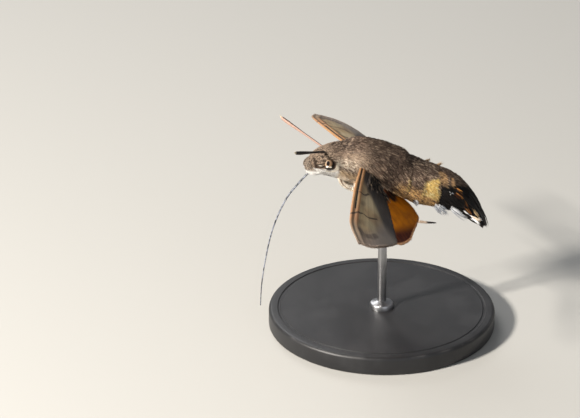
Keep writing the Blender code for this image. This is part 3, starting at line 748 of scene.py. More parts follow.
def grow_tufts(name, ground, tree, slot, **sizes):
    """Run a tuft tree on a ground mesh and keep the result as a plain mesh."""
    holder = bpy.data.objects.new(name + "_ground", ground.data)
    bpy.context.scene.collection.objects.link(holder)
    modifier = holder.modifiers.new("tufts", "NODES")
    modifier.node_group = tree
    named = {key.replace("_", " "): value for key, value in sizes.items()}
    for item in tree.interface.items_tree:
        if item.in_out == "INPUT" and item.name in named:
            modifier[item.identifier] = named[item.name]
    depsgraph = bpy.context.evaluated_depsgraph_get()
    mesh = bpy.data.meshes.new_from_object(holder.evaluated_get(depsgraph), depsgraph=depsgraph,
                                           preserve_all_data_layers=True)
    mesh.name = name
    holder.modifiers.clear()
    bpy.data.objects.remove(holder)
    piece = bpy.data.objects.new(name, mesh)
    bpy.context.scene.collection.objects.link(piece)
    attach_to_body(piece, "root")
    return piece


coat_finish = Finish("coat tufts")
tuft_colour, tuft_tone = coat_colour(coat_finish)
share, _, _ = coat_finish.parts(coat_finish.mark("blade")[0])
# Each tuft is darkened towards its root: painted shade where the tufts overlap.
tuft_colour = coat_finish.mix(share.step(0.0, 0.7), coat_finish.mix(0.38, tuft_colour, tint(34, 27, 24)),
                              tuft_colour)
coat_material = coat_finish.end(tuft_colour, 0.6, Specular_IOR_Level=0.3)

COAT = (
    # name, from and to in mm along the body, tufts a square mm, width in mm, spread, slot
    ("coat_head", 0.0, 4.7, 150.0, 0.075, 0.20, "head_fur"),
    ("coat_collar", 4.7, 8.0, 100.0, 0.090, 0.15, "thorax_fur"),
    ("coat_thorax", 8.0, 11.4, 80.0, 0.100, 0.13, "thorax_fur"),
    ("coat_saddle", 11.4, 14.4, 80.0, 0.100, 0.13, "thorax_fur"),
    ("coat_abdomen_front", 14.4, 19.0, 80.0, 0.095, 0.10, "abdomen_fur"),
    ("coat_abdomen_rear", 19.0, 23.5, 80.0, 0.095, 0.10, "abdomen_fur"),
    ("coat_rump", 23.5, 28.0, 60.0, 0.130, 0.10, "tail_scales"),
)
for row, (name, first, last, density, width, spread, slot) in enumerate(COAT):
    grow_tufts(name, skin, scatter, slot, Tuft=hair_tuft, Finish=coat_material,
               Per_square_metre=density / MM ** 2, Width=width * MM, Spread=spread,
               From=first, To=last, Seed=row + 1)


# ---------------------------------------------------------------------------
# Tail fan and side tufts. Flat ribbon scales: two tiers spread sideways from
# the rump into the fan, and white and rust-brown bunches stand off the sides.
# ---------------------------------------------------------------------------
ribbon_scale = blade("ribbon_scale", ((0.0, 0.25, 0.02, 0.0), (0.2, 0.42, 0.022, 0.03),
                                      (0.45, 0.5, 0.022, 0.05), (0.7, 0.46, 0.02, 0.045),
                                      (0.9, 0.28, 0.012, 0.02), (1.0, 0.0, 0.0, 0.0)))
chance = np.random.default_rng(11)


FAN_SAG = (0.15, 0.0, -0.1)


def chart_place(places, turns):
    """Where a spot of the skin lies on the skin's own chart."""
    row = (np.clip(places / SKIN_END, 0.0, 1.0)) ** (1 / 1.15)
    return np.stack([0.01 + 0.97 * row,
                     0.01 + 0.97 * (turns / (2 * math.pi)) / (1 + 1 / SKIN_SIDES),
                     np.zeros_like(row)], axis=-1)


def plant(name, starts, ends, turns, grows, lengths, hues, width, spread, slot, finish, sags=0.0):
    """Plant ribbon scales at places on the body, each aimed at a second place and then let sag."""
    places, aims = np.asarray(starts), np.asarray(ends)
    turns, aim_turns = np.asarray(turns)[:, 0], np.asarray(turns)[:, 1]
    grows = np.asarray(grows)
    roots = body_surface(places, turns, grows[:, 0])
    tips = body_surface(aims, aim_turns, grows[:, 1]) + np.multiply.outer(sags, FAN_SAG)
    outward = unit(body_surface(places, turns, 1.0) - body_surface(places, turns, 0.0))
    around = np.where(turns <= math.pi, turns, 2 * math.pi - turns) / math.pi
    marks = {
        "mark": np.stack([walked(places), around, np.zeros_like(around)], axis=-1),
        "spot": roots * (1, 0, 1) + np.abs(roots) * (0, 1, 0),
        "outward": outward @ (pitch_only / MM),
        "comb": unit((tips - roots) @ (pitch_only / MM)),
        "long": np.asarray(lengths) * np.linalg.norm(tips - roots, axis=1) * MM,
        "lift": np.zeros_like(around),
        "hue": np.asarray(hues),
        "OFBake": chart_place(places, turns),
    }
    ground = add_piece(name + "_points", stand_up(roots), [], marks)
    piece = grow_tufts(name, ground, planted, slot, Tuft=ribbon_scale, Finish=finish,
                       Width=width * MM, Spread=spread, Seed=31)
    bpy.data.objects.remove(ground)
    return piece


ribbon_finish = Finish("ribbon scales")
whiteness, rust, bare = ribbon_finish.parts(ribbon_finish.mark("hue")[0])
ribbon_tone = ribbon_finish.mark("tone")[1]
ribbon_share, ribbon_side, _ = ribbon_finish.parts(ribbon_finish.mark("blade")[0])
ribbon_colour = ribbon_finish.mix(ribbon_tone.step(0.1, 1.0), tint(8, 7, 8), tint(32, 26, 24))
ribbon_colour = ribbon_finish.mix(ribbon_share.step(0.55, 1.0) * 0.2, ribbon_colour, tint(70, 60, 54))
ribbon_colour = ribbon_finish.mix(
    rust, ribbon_colour, ribbon_finish.mix(ribbon_tone.step(0.2, 0.8), tint(96, 50, 20), tint(226, 158, 84)))
ribbon_colour = ribbon_finish.mix(
    whiteness, ribbon_colour, ribbon_finish.mix(ribbon_tone.step(0.1, 0.7), tint(160, 166, 178), tint(253, 253, 253)))
ribbon_colour = ribbon_finish.mix(
    bare, ribbon_colour, ribbon_finish.mix(ribbon_tone, tint(196, 166, 124), tint(232, 206, 168)))
ribbon_material = ribbon_finish.end(ribbon_colour, 0.5, Specular_IOR_Level=0.3)

BLACK, WHITE, RUST, CREAM, TAN = (0, 0, 0), (1, 0, 0), (0, 1, 0), (0, 0, 1), (0, 0.5, 0.6)
FAN_TIERS = (
    # root place, tip place, side (1 above, -1 below), count, depth under the outline
    (11.7, 12.9, 1, 40, -0.25), (11.9, 13.5, 1, 56, -0.25), (12.2, 14.0, 1, 70, -0.35),
    (12.4, 13.95, 1, 56, -0.7), (12.3, 13.65, -1, 56, -0.35), (11.9, 13.2, -1, 46, -0.2),
    (11.6, 12.75, -1, 40, -0.15),
)
starts, ends, turns, grows, lengths, hues, sags = [], [], [], [], [], [], []
for tier, (root, tip, side, count, depth) in enumerate(FAN_TIERS):
    for item in range(count):
        across = ((item + 0.5) / count * 2 - 1) * 0.985 + chance.uniform(-0.01, 0.01)
        turn = math.asin(max(-0.999, min(0.999, across)))
        turn = turn if side > 0 else math.pi - turn
        spread_out = math.asin(max(-0.999, min(0.999, across * 1.0)))
        aim = spread_out if side > 0 else math.pi - spread_out
        starts.append(root + chance.uniform(-0.12, 0.12))
        ends.append(tip - chance.uniform(0.0, 0.16) - 0.62 * abs(across) ** 3)
        turns.append((turn % (2 * math.pi), aim % (2 * math.pi)))
        grows.append((depth, 0.0 if side > 0 else -0.40))
        lengths.append(1.12 if tier == 2 else 1.0)
        sags.append(max(0.0, (tip - 12.4) / 1.6))
        edge_white = side < 0 and abs(across) > 0.6 and tier < 6 and chance.random() < 0.45
        pale_edge = abs(across) > 0.4 and tier < 3 and chance.random() < 0.05
        hues.append(WHITE if edge_white else CREAM if pale_edge else BLACK)
plant("tail_fan_scales", starts, ends, turns, grows, lengths, hues, 0.36, 0.05,
      "tail_scales", ribbon_material, np.array(sags))

SIDE_TUFTS = (
    # root and tip place, degrees from the back's midline, how far the tip drops and stands off,
    # count, colour, width of the bunch in places and degrees
    (9.15, 9.5, 132, 10, 0.95, 90, WHITE, 0.09, 7),
    (10.36, 11.25, 129, 16, 1.05, 210, WHITE, 0.34, 9),
    (11.2, 12.35, 122, 10, 0.42, 84, WHITE, 0.22, 10),
    (12.45, 13.05, 112, -42, 0.45, 26, WHITE, 0.08, 4),
    (12.55, 13.05, 112, -20, 0.45, 18, WHITE, 0.08, 5),
    (12.5, 13.0, 106, -32, 0.50, 12, CREAM, 0.06, 4),
    (10.95, 11.45, 58, 8, 0.40, 10, RUST, 0.20, 11),
    (11.25, 12.0, 67, 12, 0.40, 10, RUST, 0.20, 9),
    (11.75, 12.35, 80, 14, 0.30, 5, RUST, 0.20, 7),
    (12.1, 12.9, 66, 6, 0.15, 8, CREAM, 0.12, 6),
    (9.45, 9.75, 40, 4, 0.62, 60, TAN, 0.12, 7),
    (10.05, 10.35, 34, 4, 0.62, 60, TAN, 0.12, 7),
    (10.5, 11.5, 84, 12, 0.25, 130, BLACK, 0.30, 16),
    (11.0, 11.8, 66, 16, 0.46, 80, BLACK, 0.26, 14),
    (10.65, 10.85, 72, 8, 0.10, 3, WHITE, 0.20, 5),
    (12.9, 13.55, 86, -2, 0.20, 70, BLACK, 0.10, 16),
)
starts, ends, turns, grows, lengths, hues = [], [], [], [], [], []
for root, tip, degrees, drop, stand_off, count, hue, wide_along, wide_round in SIDE_TUFTS:
    for side in (1, -1):
        for item in range(0 if side > 0 and hue == TAN else count):
            turn = math.radians(degrees + chance.uniform(-wide_round, wide_round))
            aim = turn + math.radians(drop + chance.uniform(-4, 4))
            starts.append(root + chance.uniform(-wide_along, wide_along))
            ends.append(tip + chance.uniform(-wide_along, wide_along * 0.4))
            turns.append((turn, aim) if side > 0 else (2 * math.pi - turn, 2 * math.pi - aim))
            grows.append((-0.3, stand_off * chance.uniform(0.45, 1.05)))
            lengths.append(1.0)
            hues.append(hue)
plant("side_tufts", starts, ends, turns, grows, lengths, hues, 0.10, 0.06,
      "abdomen_fur", ribbon_material)


# ---------------------------------------------------------------------------
# Eyes. Large smooth compound eyes, tan with a dark false pupil that faces out
# and a little up, two painted highlights on the lower edge, painted shade on the
# outer ring's lower rear, and a fine facet grain under the gloss.
# ---------------------------------------------------------------------------
eye_finish = Finish("eye")
look = eye_finish.mark("look")[0]


EYE_SHAPE = np.array((1.0, 0.66, 0.97))
EYE_RIGHT = np.array((-0.982, 0.153, 0.110))
EYE_UP = np.array((0.037, -0.415, 0.909))


def facing(direction):
    """How far a spot of the eye lies towards a direction, in eye radii."""
    return eye_finish.node("ShaderNodeVectorMath", {"operation": "DOT_PRODUCT"},
                           (look, tuple(direction * EYE_SHAPE)))[1]


across_eye = facing(EYE_RIGHT)
up_eye = facing(EYE_UP)


def oval(across, up, wide, high, soft=0.25):
    """1 inside an oval on the eye as it is seen from its own side, and 0 outside."""
    aside, above = (across_eye - across) / wide, (up_eye - up) / high
    return 1 - (aside * aside + above * above).step(1 - soft, 1 + soft)


speckle = eye_finish.noise(look, 9.0, 4.0)
# Outer ring of the eye: dark brown, turning black towards the lower rear as painted shade.
eye_rim_with_shade = eye_finish.mix((across_eye - up_eye).step(-0.4, 0.5), tint(84, 62, 44), tint(20, 11, 8))
iris = eye_finish.mix(across_eye.step(-0.5, 0.5), tint(168, 142, 114), tint(122, 94, 70))
iris = eye_finish.mix((speckle - 0.5).step(0.0, 0.2) * 0.5, iris, tint(120, 84, 56))
eye_colour = eye_finish.mix(oval(-0.18, 0.10, 0.66, 0.68, 0.16), eye_rim_with_shade, iris)
# Two painted highlights, white, on the lower edge of the eye.
eye_colour = eye_finish.mix(oval(-0.40, -0.47, 0.24, 0.16), eye_colour, tint(246, 242, 234))
eye_colour = eye_finish.mix(oval(0.16, -0.55, 0.24, 0.13), eye_colour, tint(236, 226, 206))
eye_colour = eye_finish.mix(oval(-0.26, 0.10, 0.29, 0.43), eye_colour, tint(18, 9, 10))
facets = eye_finish.node("ShaderNodeTexVoronoi", {"feature": "DISTANCE_TO_EDGE"},
                         {"Vector": look, "Scale": 34.0})[0]
eye_material = eye_finish.end(eye_colour, 0.30, eye_finish.bump(facets.step(0.0, 0.06), 0.00001, 0.4),
                              Coat_Weight=0.08, Coat_Roughness=0.15,
                              Specular_IOR_Level=0.25)
EYE_ROWS = 40
EYE_SIDES = 72
for side, word in ((1, "left"), (-1, "right")):
    tilt = (np.arange(1, EYE_ROWS + 1) / (EYE_ROWS + 1)) * math.pi
    spin = np.arange(EYE_SIDES) / EYE_SIDES * 2 * math.pi
    tilt, spin = np.meshgrid(tilt, spin, indexing="ij")
    ball = np.stack([np.sin(tilt) * np.cos(spin), np.cos(tilt),
                     -np.sin(tilt) * np.sin(spin)], axis=-1).reshape(-1, 3)
    ball = np.vstack([ball, (0, 1, 0), (0, -1, 0)])
    shaped = ball * EYE_RADIUS * EYE_SHAPE
    centre = EYE_CENTRE * (1, side, 1)
    eye = add_piece("eye_ball_" + word, stand_up(shaped * (1, side, 1) + centre),
                    closed_faces(EYE_ROWS, EYE_SIDES), {"look": ball})
    if side < 0:
        eye.data.flip_normals()
    eye.data.materials.append(eye_material)
    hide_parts("eye_" + word)
    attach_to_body(eye, "root")


# ---------------------------------------------------------------------------
# Palps. Two upturned mouth feelers that close the face in front, each a stout
# curved club under short dense fur, with the tongue coming out between them.
# ---------------------------------------------------------------------------
def even_points(rows, count):
    """Points at even distances along a smooth curve, and how far each is along it."""
    fine = smooth_curve(rows, np.linspace(0, len(rows) - 1, 400))
    steps = np.concatenate([[0.0], np.cumsum(np.linalg.norm(np.diff(fine, axis=0), axis=1))])
    wanted = np.linspace(0.0, steps[-1], count)
    return np.stack([np.interp(wanted, steps, column) for column in fine.T], axis=1), wanted


def swept(name, path, radii, sides, rings, section=None):
    """A closed tube along a smooth path in the moth's frame, in millimetres. section gives the
    shape of its cross-section as a radius factor at each angle."""
    points, distance = even_points(path, rings)
    share = distance / distance[-1]
    ahead = unit(np.gradient(points, axis=0))
    across = unit(np.cross(ahead[0], (0.0, 1.0, 0.02)))
    rows, normals = [], []
    angles = np.arange(sides) / sides * 2 * math.pi
    shape = np.ones(sides) if section is None else section(angles)
    for step in range(rings):
        across = unit(across - ahead[step] * np.dot(across, ahead[step]))
        beside = np.cross(ahead[step], across)
        radius = radii(share[step]) if callable(radii) else np.interp(
            share[step] * (len(radii) - 1), np.arange(len(radii)), radii)
        out = np.outer(np.cos(angles), across) + np.outer(np.sin(angles), beside)
        rows.append(points[step] + out * radius * shape[:, None])
        normals.append(out)
    rows, normals = np.array(rows), np.array(normals)
    ends = np.array([points[0] - ahead[0] * 0.02, points[-1] + ahead[-1] * 0.04])
    everything = np.vstack([rows.reshape(-1, 3), ends])
    lengthways = np.repeat(distance, sides)
    tilted = normals.reshape(-1, 3)
    marks = {
        "mark": np.vstack([np.stack([lengthways, np.tile(angles / (2 * math.pi), rings),
                                     lengthways / distance[-1]], axis=1),
                           (0.0, 0.5, 0.0), (distance[-1], 0.5, 1.0)]),
        "side": np.vstack([tilted, -ahead[0], ahead[-1]]),
        "spot": everything,
        "comb": np.vstack([np.repeat(ahead, sides, axis=0), ahead[0], ahead[-1]]) @ (pitch_only / MM),
        "cover": np.ones(len(everything)),
    }
    piece = add_piece(name, stand_up(everything), closed_faces(rings, sides), marks)
    unwrap_rings(piece, rings, sides)
    return piece


def set_fur(piece, length, lift):
    """Mark a piece with one length and stand-off for its short fur."""
    count = len(piece.data.vertices)
    for mark, value in (("long", length * MM), ("lift", lift)):
        piece.data.attributes.new(mark, "FLOAT", "POINT").data.foreach_set(
            "value", np.full(count, value, dtype=np.float32))


def attach(piece, node, finish):
    piece.data.materials.append(finish)
    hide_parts(node)
    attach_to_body(piece, "root")


PALP_PATH = ((7.2, 0.9, -1.35), (8.25, 0.9, -1.2), (9.0, 0.68, -0.70), (8.85, 0.52, 0.35))
palp_finish = Finish("palp fur")
palp_spot = palp_finish.mark("spot")[0]
_, _, palp_height = palp_finish.parts(palp_spot)
palp_tone = palp_finish.mark("tone")[1]
palp_patch = palp_finish.noise(palp_spot, 2.4, 3.0)
palp_colour = palp_finish.mix((palp_tone * 0.7 + palp_patch * 0.6).step(0.2, 1.0),
                              tint(84, 74, 66), tint(188, 170, 152))
palp_colour = palp_finish.mix(1 - palp_height.step(-1.25, -0.85), palp_colour, THROAT_WHITE)
palp_material = palp_finish.end(palp_colour, 0.7)
for side, word in ((1, "left"), (-1, "right")):
    path = np.array(PALP_PATH) * (1, side, 1)
    palp = swept("palp_core_" + word, path, (0.38, 0.50, 0.54, 0.5, 0.2), 28, 40)
    set_fur(palp, 0.26, 0.28)
    attach(palp, "palp_" + word, palp_material)
    grow_tufts("palp_fur_" + word, palp, scatter, "palps", Tuft=hair_tuft, Finish=palp_material,
               Per_square_metre=150.0 / MM ** 2, Width=0.09 * MM, Spread=0.25,
               From=-1.0, To=50.0, Seed=41)


# ---------------------------------------------------------------------------
# Antennae. Straight feelers that thicken towards a small hooked tip, ringed by
# some fifty joints, dark outside and pale pinkish on the side that faces in.
# ---------------------------------------------------------------------------
ANTENNA_BASE = np.array((6.45, 0.66, 2.05))
ANTENNA_LEAN = np.array((0.676, 0.696, 0.243))
ANTENNA_LENGTH = 9.5
antenna_finish = Finish("antenna")
distance, _, share = antenna_finish.parts(antenna_finish.mark("mark")[0])
side_x, side_y, side_z = antenna_finish.parts(antenna_finish.mark("side")[0])
inner = antenna_finish.mark("inner")[1]
rings = (distance * 34.0).math("SINE") * 0.5 + 0.5
antenna_colour = antenna_finish.mix(inner.step(-0.15, 0.35), tint(26, 18, 20), tint(172, 138, 122))
antenna_colour = antenna_finish.mix(share.step(0.93, 0.97), antenna_colour, tint(206, 190, 160))
antenna_colour = antenna_finish.mix((1 - rings).step(0.6, 1.0) * 0.35, antenna_colour, tint(30, 20, 20))
antenna_material = antenna_finish.end(antenna_colour, 0.5, antenna_finish.bump(rings, 0.00003, 0.6))


def antenna_radius(share):
    """Slim stem, club before the tip, and the ring joints as a faint ripple."""
    club = np.interp(share, (0.0, 0.05, 0.45, 0.8, 0.92, 0.965, 1.0),
                     (0.22, 0.16, 0.18, 0.28, 0.25, 0.10, 0.03))
    return club * (1 + 0.05 * math.sin(share * ANTENNA_LENGTH * 34.0))


for side, word in ((1, "left"), (-1, "right")):
    steps = np.array((0.0, 0.2, 0.4, 0.6, 0.78, 0.9, 0.97, 1.0))
    hook = np.array((0, 0, 0, 0, 0.0, 0.02, 0.10, 0.24))
    path = (ANTENNA_BASE + np.outer(steps * ANTENNA_LENGTH, ANTENNA_LEAN)
            + np.outer(hook, (-0.2, 0.1, 1.0)))
    antenna = swept("antenna_rod_" + word, path * (1, side, 1), antenna_radius, 16, 200)
    normal = np.empty(len(antenna.data.vertices) * 3, dtype=np.float32)
    antenna.data.attributes["side"].data.foreach_get("vector", normal)
    normal = normal.reshape(-1, 3)
    inward = unit(np.array((0.55, -0.75 * side, -0.35)))
    antenna.data.attributes.new("inner", "FLOAT", "POINT").data.foreach_set(
        "value", (normal @ inward).astype(np.float32))
    attach(antenna, "antenna_" + word, antenna_material)


# ---------------------------------------------------------------------------
# Proboscis. The long tongue let down to drink: two half tubes zipped together
# along a groove, finely ringed, dark blue-grey with a wet shine, and patches of
# pale painted highlights.
# ---------------------------------------------------------------------------
TONGUE_PATH = ((7.7, 0.0, -0.9), (8.8, 0.0, -2.0), (10.4, 0.0, -4.2), (11.7, 0.0, -6.4),
               (12.8, 0.0, -9.6), (13.5, 0.0, -13.0), (13.9, 0.0, -17.5), (14.0, 0.0, -21.5),
               (13.8, 0.0, -25.0))
tongue_finish = Finish("tongue")
distance, around, _ = tongue_finish.parts(tongue_finish.mark("mark")[0])
ripple = (distance * 60.0).math("SINE") * 0.5 + 0.5
# Pale blue-grey patches are painted highlights of the wet shine.
highlight_patches = tongue_finish.noise(tongue_finish.mark("spot")[0], 1.6, 3.0)
tongue_colour = tongue_finish.mix(highlight_patches.step(0.40, 0.62), tint(34, 40, 52), tint(150, 156, 170))
tongue_colour = tongue_finish.mix((1 - ripple) * 0.4, tongue_colour, tint(24, 24, 30))
tongue_material = tongue_finish.end(tongue_colour, 0.28, tongue_finish.bump(ripple, 0.00002, 0.4),
                                    Coat_Weight=0.4, Coat_Roughness=0.15)
tongue = swept("tongue", TONGUE_PATH, (0.19, 0.17, 0.15, 0.14, 0.12, 0.1), 24, 220,
               lambda angles: 0.62 + 0.38 * np.abs(np.sin(angles)))
attach(tongue, "proboscis", tongue_material)


# ---------------------------------------------------------------------------
# Legs. Folded back under the body: thigh, shin and five foot joints, under
# flat cream scales with a brown stripe and dark foot tips.
# ---------------------------------------------------------------------------
LEGS = {
    "foreleg": (((3.9, 0.9, -2.0), (3.1, 1.0, -3.2), (1.0, 1.35, -4.1), (-1.6, 1.6, -4.65)), 0.40),
    "midleg": (((1.5, 2.1, -2.4), (1.2, 2.6, -3.6), (-0.8, 2.8, -4.3), (-2.9, 2.5, -4.85)), 0.40),
    "hindleg": (((-2.2, 1.3, -3.3), (-3.9, 1.3, -5.6), (-6.4, 1.6, -7.6), (-9.0, 2.4, -8.35),
                 (-11.8, 2.7, -8.4)), 0.44),
}
FAR_FOOT_FOLD = np.array(((1.3, 0.0, 0.2), (3.4, 0.0, 0.3)))
leg_finish = Finish("leg scales")
distance, turned_by, share = leg_finish.parts(leg_finish.mark("mark")[0])
leg_tone = leg_finish.mark("tone")[1]
_, _, leg_up = leg_finish.parts(leg_finish.mark("side")[0])
leg_patch = leg_finish.noise(leg_finish.mark("spot")[0], 2.0, 3.0)
leg_colour = leg_finish.mix((leg_tone * 0.6 + leg_patch * 0.6).step(0.2, 0.9),
                            tint(220, 202, 178), tint(252, 246, 234))
leg_colour = leg_finish.mix(leg_up.band(-0.10, 0.12, 0.08) * (1 - share.step(0.5, 0.7)) * 0.9,
                            leg_colour, tint(112, 78, 50))
leg_colour = leg_finish.mix(share.step(0.55, 0.75) * 0.6, leg_colour, tint(168, 132, 104))
leg_colour = leg_finish.mix(share.step(0.86, 0.90), leg_colour, tint(38, 28, 26))
leg_material = leg_finish.end(leg_colour, 0.6)


def leg_radius(thick):
    """Radius along a leg: joints at the knee and between the foot's five segments."""
    joints = (0.42, 0.70, 0.77, 0.84, 0.90, 0.95)

    def radius(share):
        stem = np.interp(share, (0.0, 0.3, 0.42, 0.55, 0.7, 0.95, 1.0),
                         (1.0, 0.95, 0.72, 0.82, 0.52, 0.26, 0.12)) * thick
        pinch = sum(math.exp(-((share - joint) / 0.008) ** 2) for joint in joints)
        return stem * (1 - 0.28 * min(pinch, 1.0))
    return radius


for name, (path, thick) in LEGS.items():
    for side, word in ((1, "left"), (-1, "right")):
        folded = np.array(path) * (1, side, 1)
        if side < 0 and name == "hindleg":
            folded[-2:] += FAR_FOOT_FOLD
        leg = swept(name + "_core_" + word, folded, leg_radius(thick), 20, 110)
        set_fur(leg, 0.26, 0.16)
        attach(leg, name + "_" + word, leg_material)
        grow_tufts(name + "_scales_" + word, leg, scatter, "legs", Tuft=hair_tuft,
                   Finish=leg_material, Per_square_metre=110.0 / MM ** 2, Width=0.08 * MM,
                   Spread=0.08, From=-1.0, To=50.0, Seed=51)


# ---------------------------------------------------------------------------
# Wings. Thin membranes on raised forking veins, under fine flat scales with a
# fringe of longer ones along the rear edges. The forewing has two stout pale
# bars along its front edge; the hindwing is orange with a dark border.
# ---------------------------------------------------------------------------
WING_LINES = {
    "forewing_left": ((1.0, 3.0, 0.45), (0.288, 0.955, -0.065), (-0.810, 0.207, -0.548)),
    "hindwing_left": ((1.0, 3.0, 0.45), (0.288, 0.955, -0.065), (-0.810, 0.207, -0.548)),
    "forewing_right": ((0.9, -3.0, 0.90), (0.246, -0.964, -0.098), (-0.931, -0.205, -0.305)),
    "hindwing_right": ((0.9, -3.0, 0.90), (0.246, -0.964, -0.098), (-0.855, -0.170, -0.490)),
}
FORE_COSTA = ((-0.8, -0.40), (3.5, -0.45), (7.8, -0.40), (14.8, 0.05), (18.5, 0.6), (21.7, 2.6))
BAR_SPREAD = ((0.0, 0.2, 0.36, 0.5, 1.0), (0.50, 0.68, 0.85, 0.95, 1.0))
FORE_TERMEN = ((21.7, 2.6), (20.4, 5.0), (16.9, 7.4), (13.4, 9.0))
FORE_DORSUM = ((-0.8, 2.4), (1.4, 3.5), (3.8, 5.4), (8.6, 7.3), (13.4, 9.0))
FORE_VEINS = (0.09, 0.19, 0.33, 0.47, 0.60, 0.73, 0.87)
HIND_COSTA = ((-0.8, 3.0), (3.5, 3.4), (8.0, 5.2), (11.6, 8.2))
HIND_TERMEN = ((11.6, 8.2), (10.6, 10.1), (7.6, 11.4), (5.1, 11.6), (1.1, 12.0), (-1.7, 12.2))
HIND_DORSUM = ((-1.6, 4.2), (-3.3, 7.6), (-3.3, 10.3), (-1.7, 12.2))
HIND_VEINS = (0.14, 0.30, 0.45, 0.60, 0.75, 0.89)
HIND_BELOW = 1.15
WING_ROWS = 130
WING_LINES_ACROSS = 100
MEMBRANE = 0.10


def wing_sheet(name, side, costa_rows, termen_rows, dorsum_rows, veins, below, camber, bars):
    """Membrane with veins, as a closed sheet, with its own span and chord as marks."""
    hinge, span_line, chord_line = (np.array(line) for line in WING_LINES[name])
    over = unit(np.cross(span_line, chord_line)) * side
    rows, lines = WING_ROWS, WING_LINES_ACROSS
    share = np.linspace(0, 1, rows)[:, None]
    across = np.linspace(0, 1, lines)[None, :]
    costa = even_points(costa_rows, rows)[0][:, None, :]
    dorsum = even_points(dorsum_rows, rows)[0][:, None, :]
    fine = even_points(termen_rows, 200)[0]
    at = np.linspace(0, 1, 200)
    termen = np.stack([np.interp(across[0], at, fine[:, 0]),
                       np.interp(across[0], at, fine[:, 1])], axis=-1)[None]
    hinge_edge = costa[:1] * (1 - across[..., None]) + dorsum[:1] * across[..., None]
    s, a = share[..., None], across[..., None]
    flat = (costa * (1 - a) + dorsum * a + hinge_edge * (1 - s) + termen * s
            - (costa[:1] * (1 - a) + dorsum[:1] * a) * (1 - s)
            - (costa[-1:] * (1 - a) + dorsum[-1:] * a) * s)
    chord = np.linalg.norm(dorsum - costa, axis=-1)
    ridge = np.zeros((rows, lines))
    for number, vein in enumerate(veins):
        fork = 0.035 * np.clip((share - 0.62) / 0.38, 0, 1)
        bend = 0.012 * math.sin(number * 2.1) * np.sin(share * math.pi)
        for way in (1, -1):
            off = (across - (vein + bend + way * fork)) * chord
            ridge = np.maximum(ridge, np.exp(-(off / 0.16) ** 2) * (1 - 0.45 * share))
    bar = np.zeros((rows, lines))
    for centre, width in bars:
        centre = np.interp(share, BAR_SPREAD[0], BAR_SPREAD[1]) * centre
        off = across * chord - centre
        bar = np.maximum(bar, np.exp(-(off / width) ** 2) * (1 - share) ** 0.35)
    middle = (hinge + flat[..., 0:1] * span_line + flat[..., 1:2] * chord_line
              + over * (camber(share, across) - below)[..., None])
    thick = MEMBRANE / 2 + 0.022 * ridge + 0.20 * bar
    edge = np.minimum(np.minimum(across * chord, (1 - across) * chord), (1 - share) * 20 + 0.0 * across)
    thick = thick * (0.35 + 0.65 * np.clip(edge / 0.3, 0, 1) ** 0.5)
    upper = middle + over * thick[..., None]
    lower = middle - over * thick[..., None]
    grid = np.arange(rows * lines).reshape(rows, lines)
    a, b, c, d = grid[:-1, :-1], grid[:-1, 1:], grid[1:, 1:], grid[1:, :-1]
    quads = np.stack([a, d, c, b], axis=-1).reshape(-1, 4)
    border = list(grid[0, :]) + list(grid[1:, -1]) + list(grid[-1, -2::-1]) + list(grid[-2:0:-1, 0])
    count = rows * lines
    faces = quads.tolist() + (quads[:, ::-1] + count).tolist()
    faces += [(here, there, there + count, here + count)
              for here, there in zip(border, border[1:] + border[:1])]
    margin = np.minimum((1 - share) * 10 + 0 * across, (1 - across) * chord)
    outward_run = np.gradient(middle, axis=0)
    outward_side = np.gradient(middle, axis=1)
    to_edge = np.where(((1 - share) * 10 < (1 - across) * chord)[..., None],
                       unit(outward_run), unit(outward_side) * 0.8 + unit(outward_run) * 0.45)
    fringe = np.clip(1 - margin / 0.18, 0, 1)
    fringe[:, :] *= np.clip((share - 0.02) / 0.1, 0, 1)
    root_hair = np.clip(1 - share / 0.24, 0, 1) * 0.6 * np.clip((across * chord - 1.5) / 0.3, 0, 1)
    cover = np.where(fringe > 0, 1.0, 0.0) + np.where(root_hair > 0, root_hair, 0.0)
    comb = np.where((fringe > 0)[..., None], unit(to_edge), unit(outward_run))
    long = np.where(share < 0.3, 1.6, 0.30) + 0 * across
    flat3 = np.concatenate([flat, margin[..., None]], axis=-1).reshape(-1, 3)
    lie = (comb @ (pitch_only / MM)).reshape(-1, 3)

    def both(values):
        values = np.asarray(values)
        return np.concatenate([values, values])

    wing = add_piece(name + "_sheet", stand_up(np.vstack([upper.reshape(-1, 3), lower.reshape(-1, 3)])),
                     faces, {
                         "mark": both(flat3),
                         "vein": both(ridge.ravel()),
                         "bar": both(bar.ravel()),
                         "comb": both(lie),
                         "long": both(long.ravel() * MM),
                         "lift": np.full(count * 2, 0.02),
                         "under": np.concatenate([np.zeros(count), np.ones(count)]),
                         "cover": both(cover.ravel())})
    if side < 0:
        wing.data.flip_normals()
    chart = wing.data.uv_layers.new(name="OFBake")
    loops = np.empty(len(wing.data.loops), dtype=np.int64)
    wing.data.loops.foreach_get("vertex_index", loops)
    face, cell = loops // count, loops % count
    place = np.stack([0.02 + 0.95 * (cell // lines) / (rows - 1),
                      0.02 + 0.44 * (cell % lines) / (lines - 1) + 0.5 * face], axis=1)
    chart.data.foreach_set("uv", place.ravel().astype(np.float32))
    return wing


def fore_camber(share, across):
    return 0.5 * np.sin(math.pi * across) * (0.4 + 0.6 * share)


def hind_camber(share, across):
    return 0.35 * np.sin(math.pi * across) * share


def line_at(finish, span, chord, spots, half):
    """A wavy line across the wing through spots of span and chord, as a mask."""
    mask = None
    for (span_a, chord_a), (span_b, chord_b) in zip(spots, spots[1:]):
        length = math.hypot(span_b - span_a, chord_b - chord_a)
        run_s, run_c = (span_b - span_a) / length, (chord_b - chord_a) / length
        along = (span - span_a) * run_s + (chord - chord_a) * run_c
        aside = (span - span_a) * -run_c + (chord - chord_a) * run_s
        near = (1 - abs(aside).step(half * 0.4, half)) * along.band(0.0, length, half * 0.6)
        mask = near if mask is None else mask.math("MAXIMUM", near)
    return mask


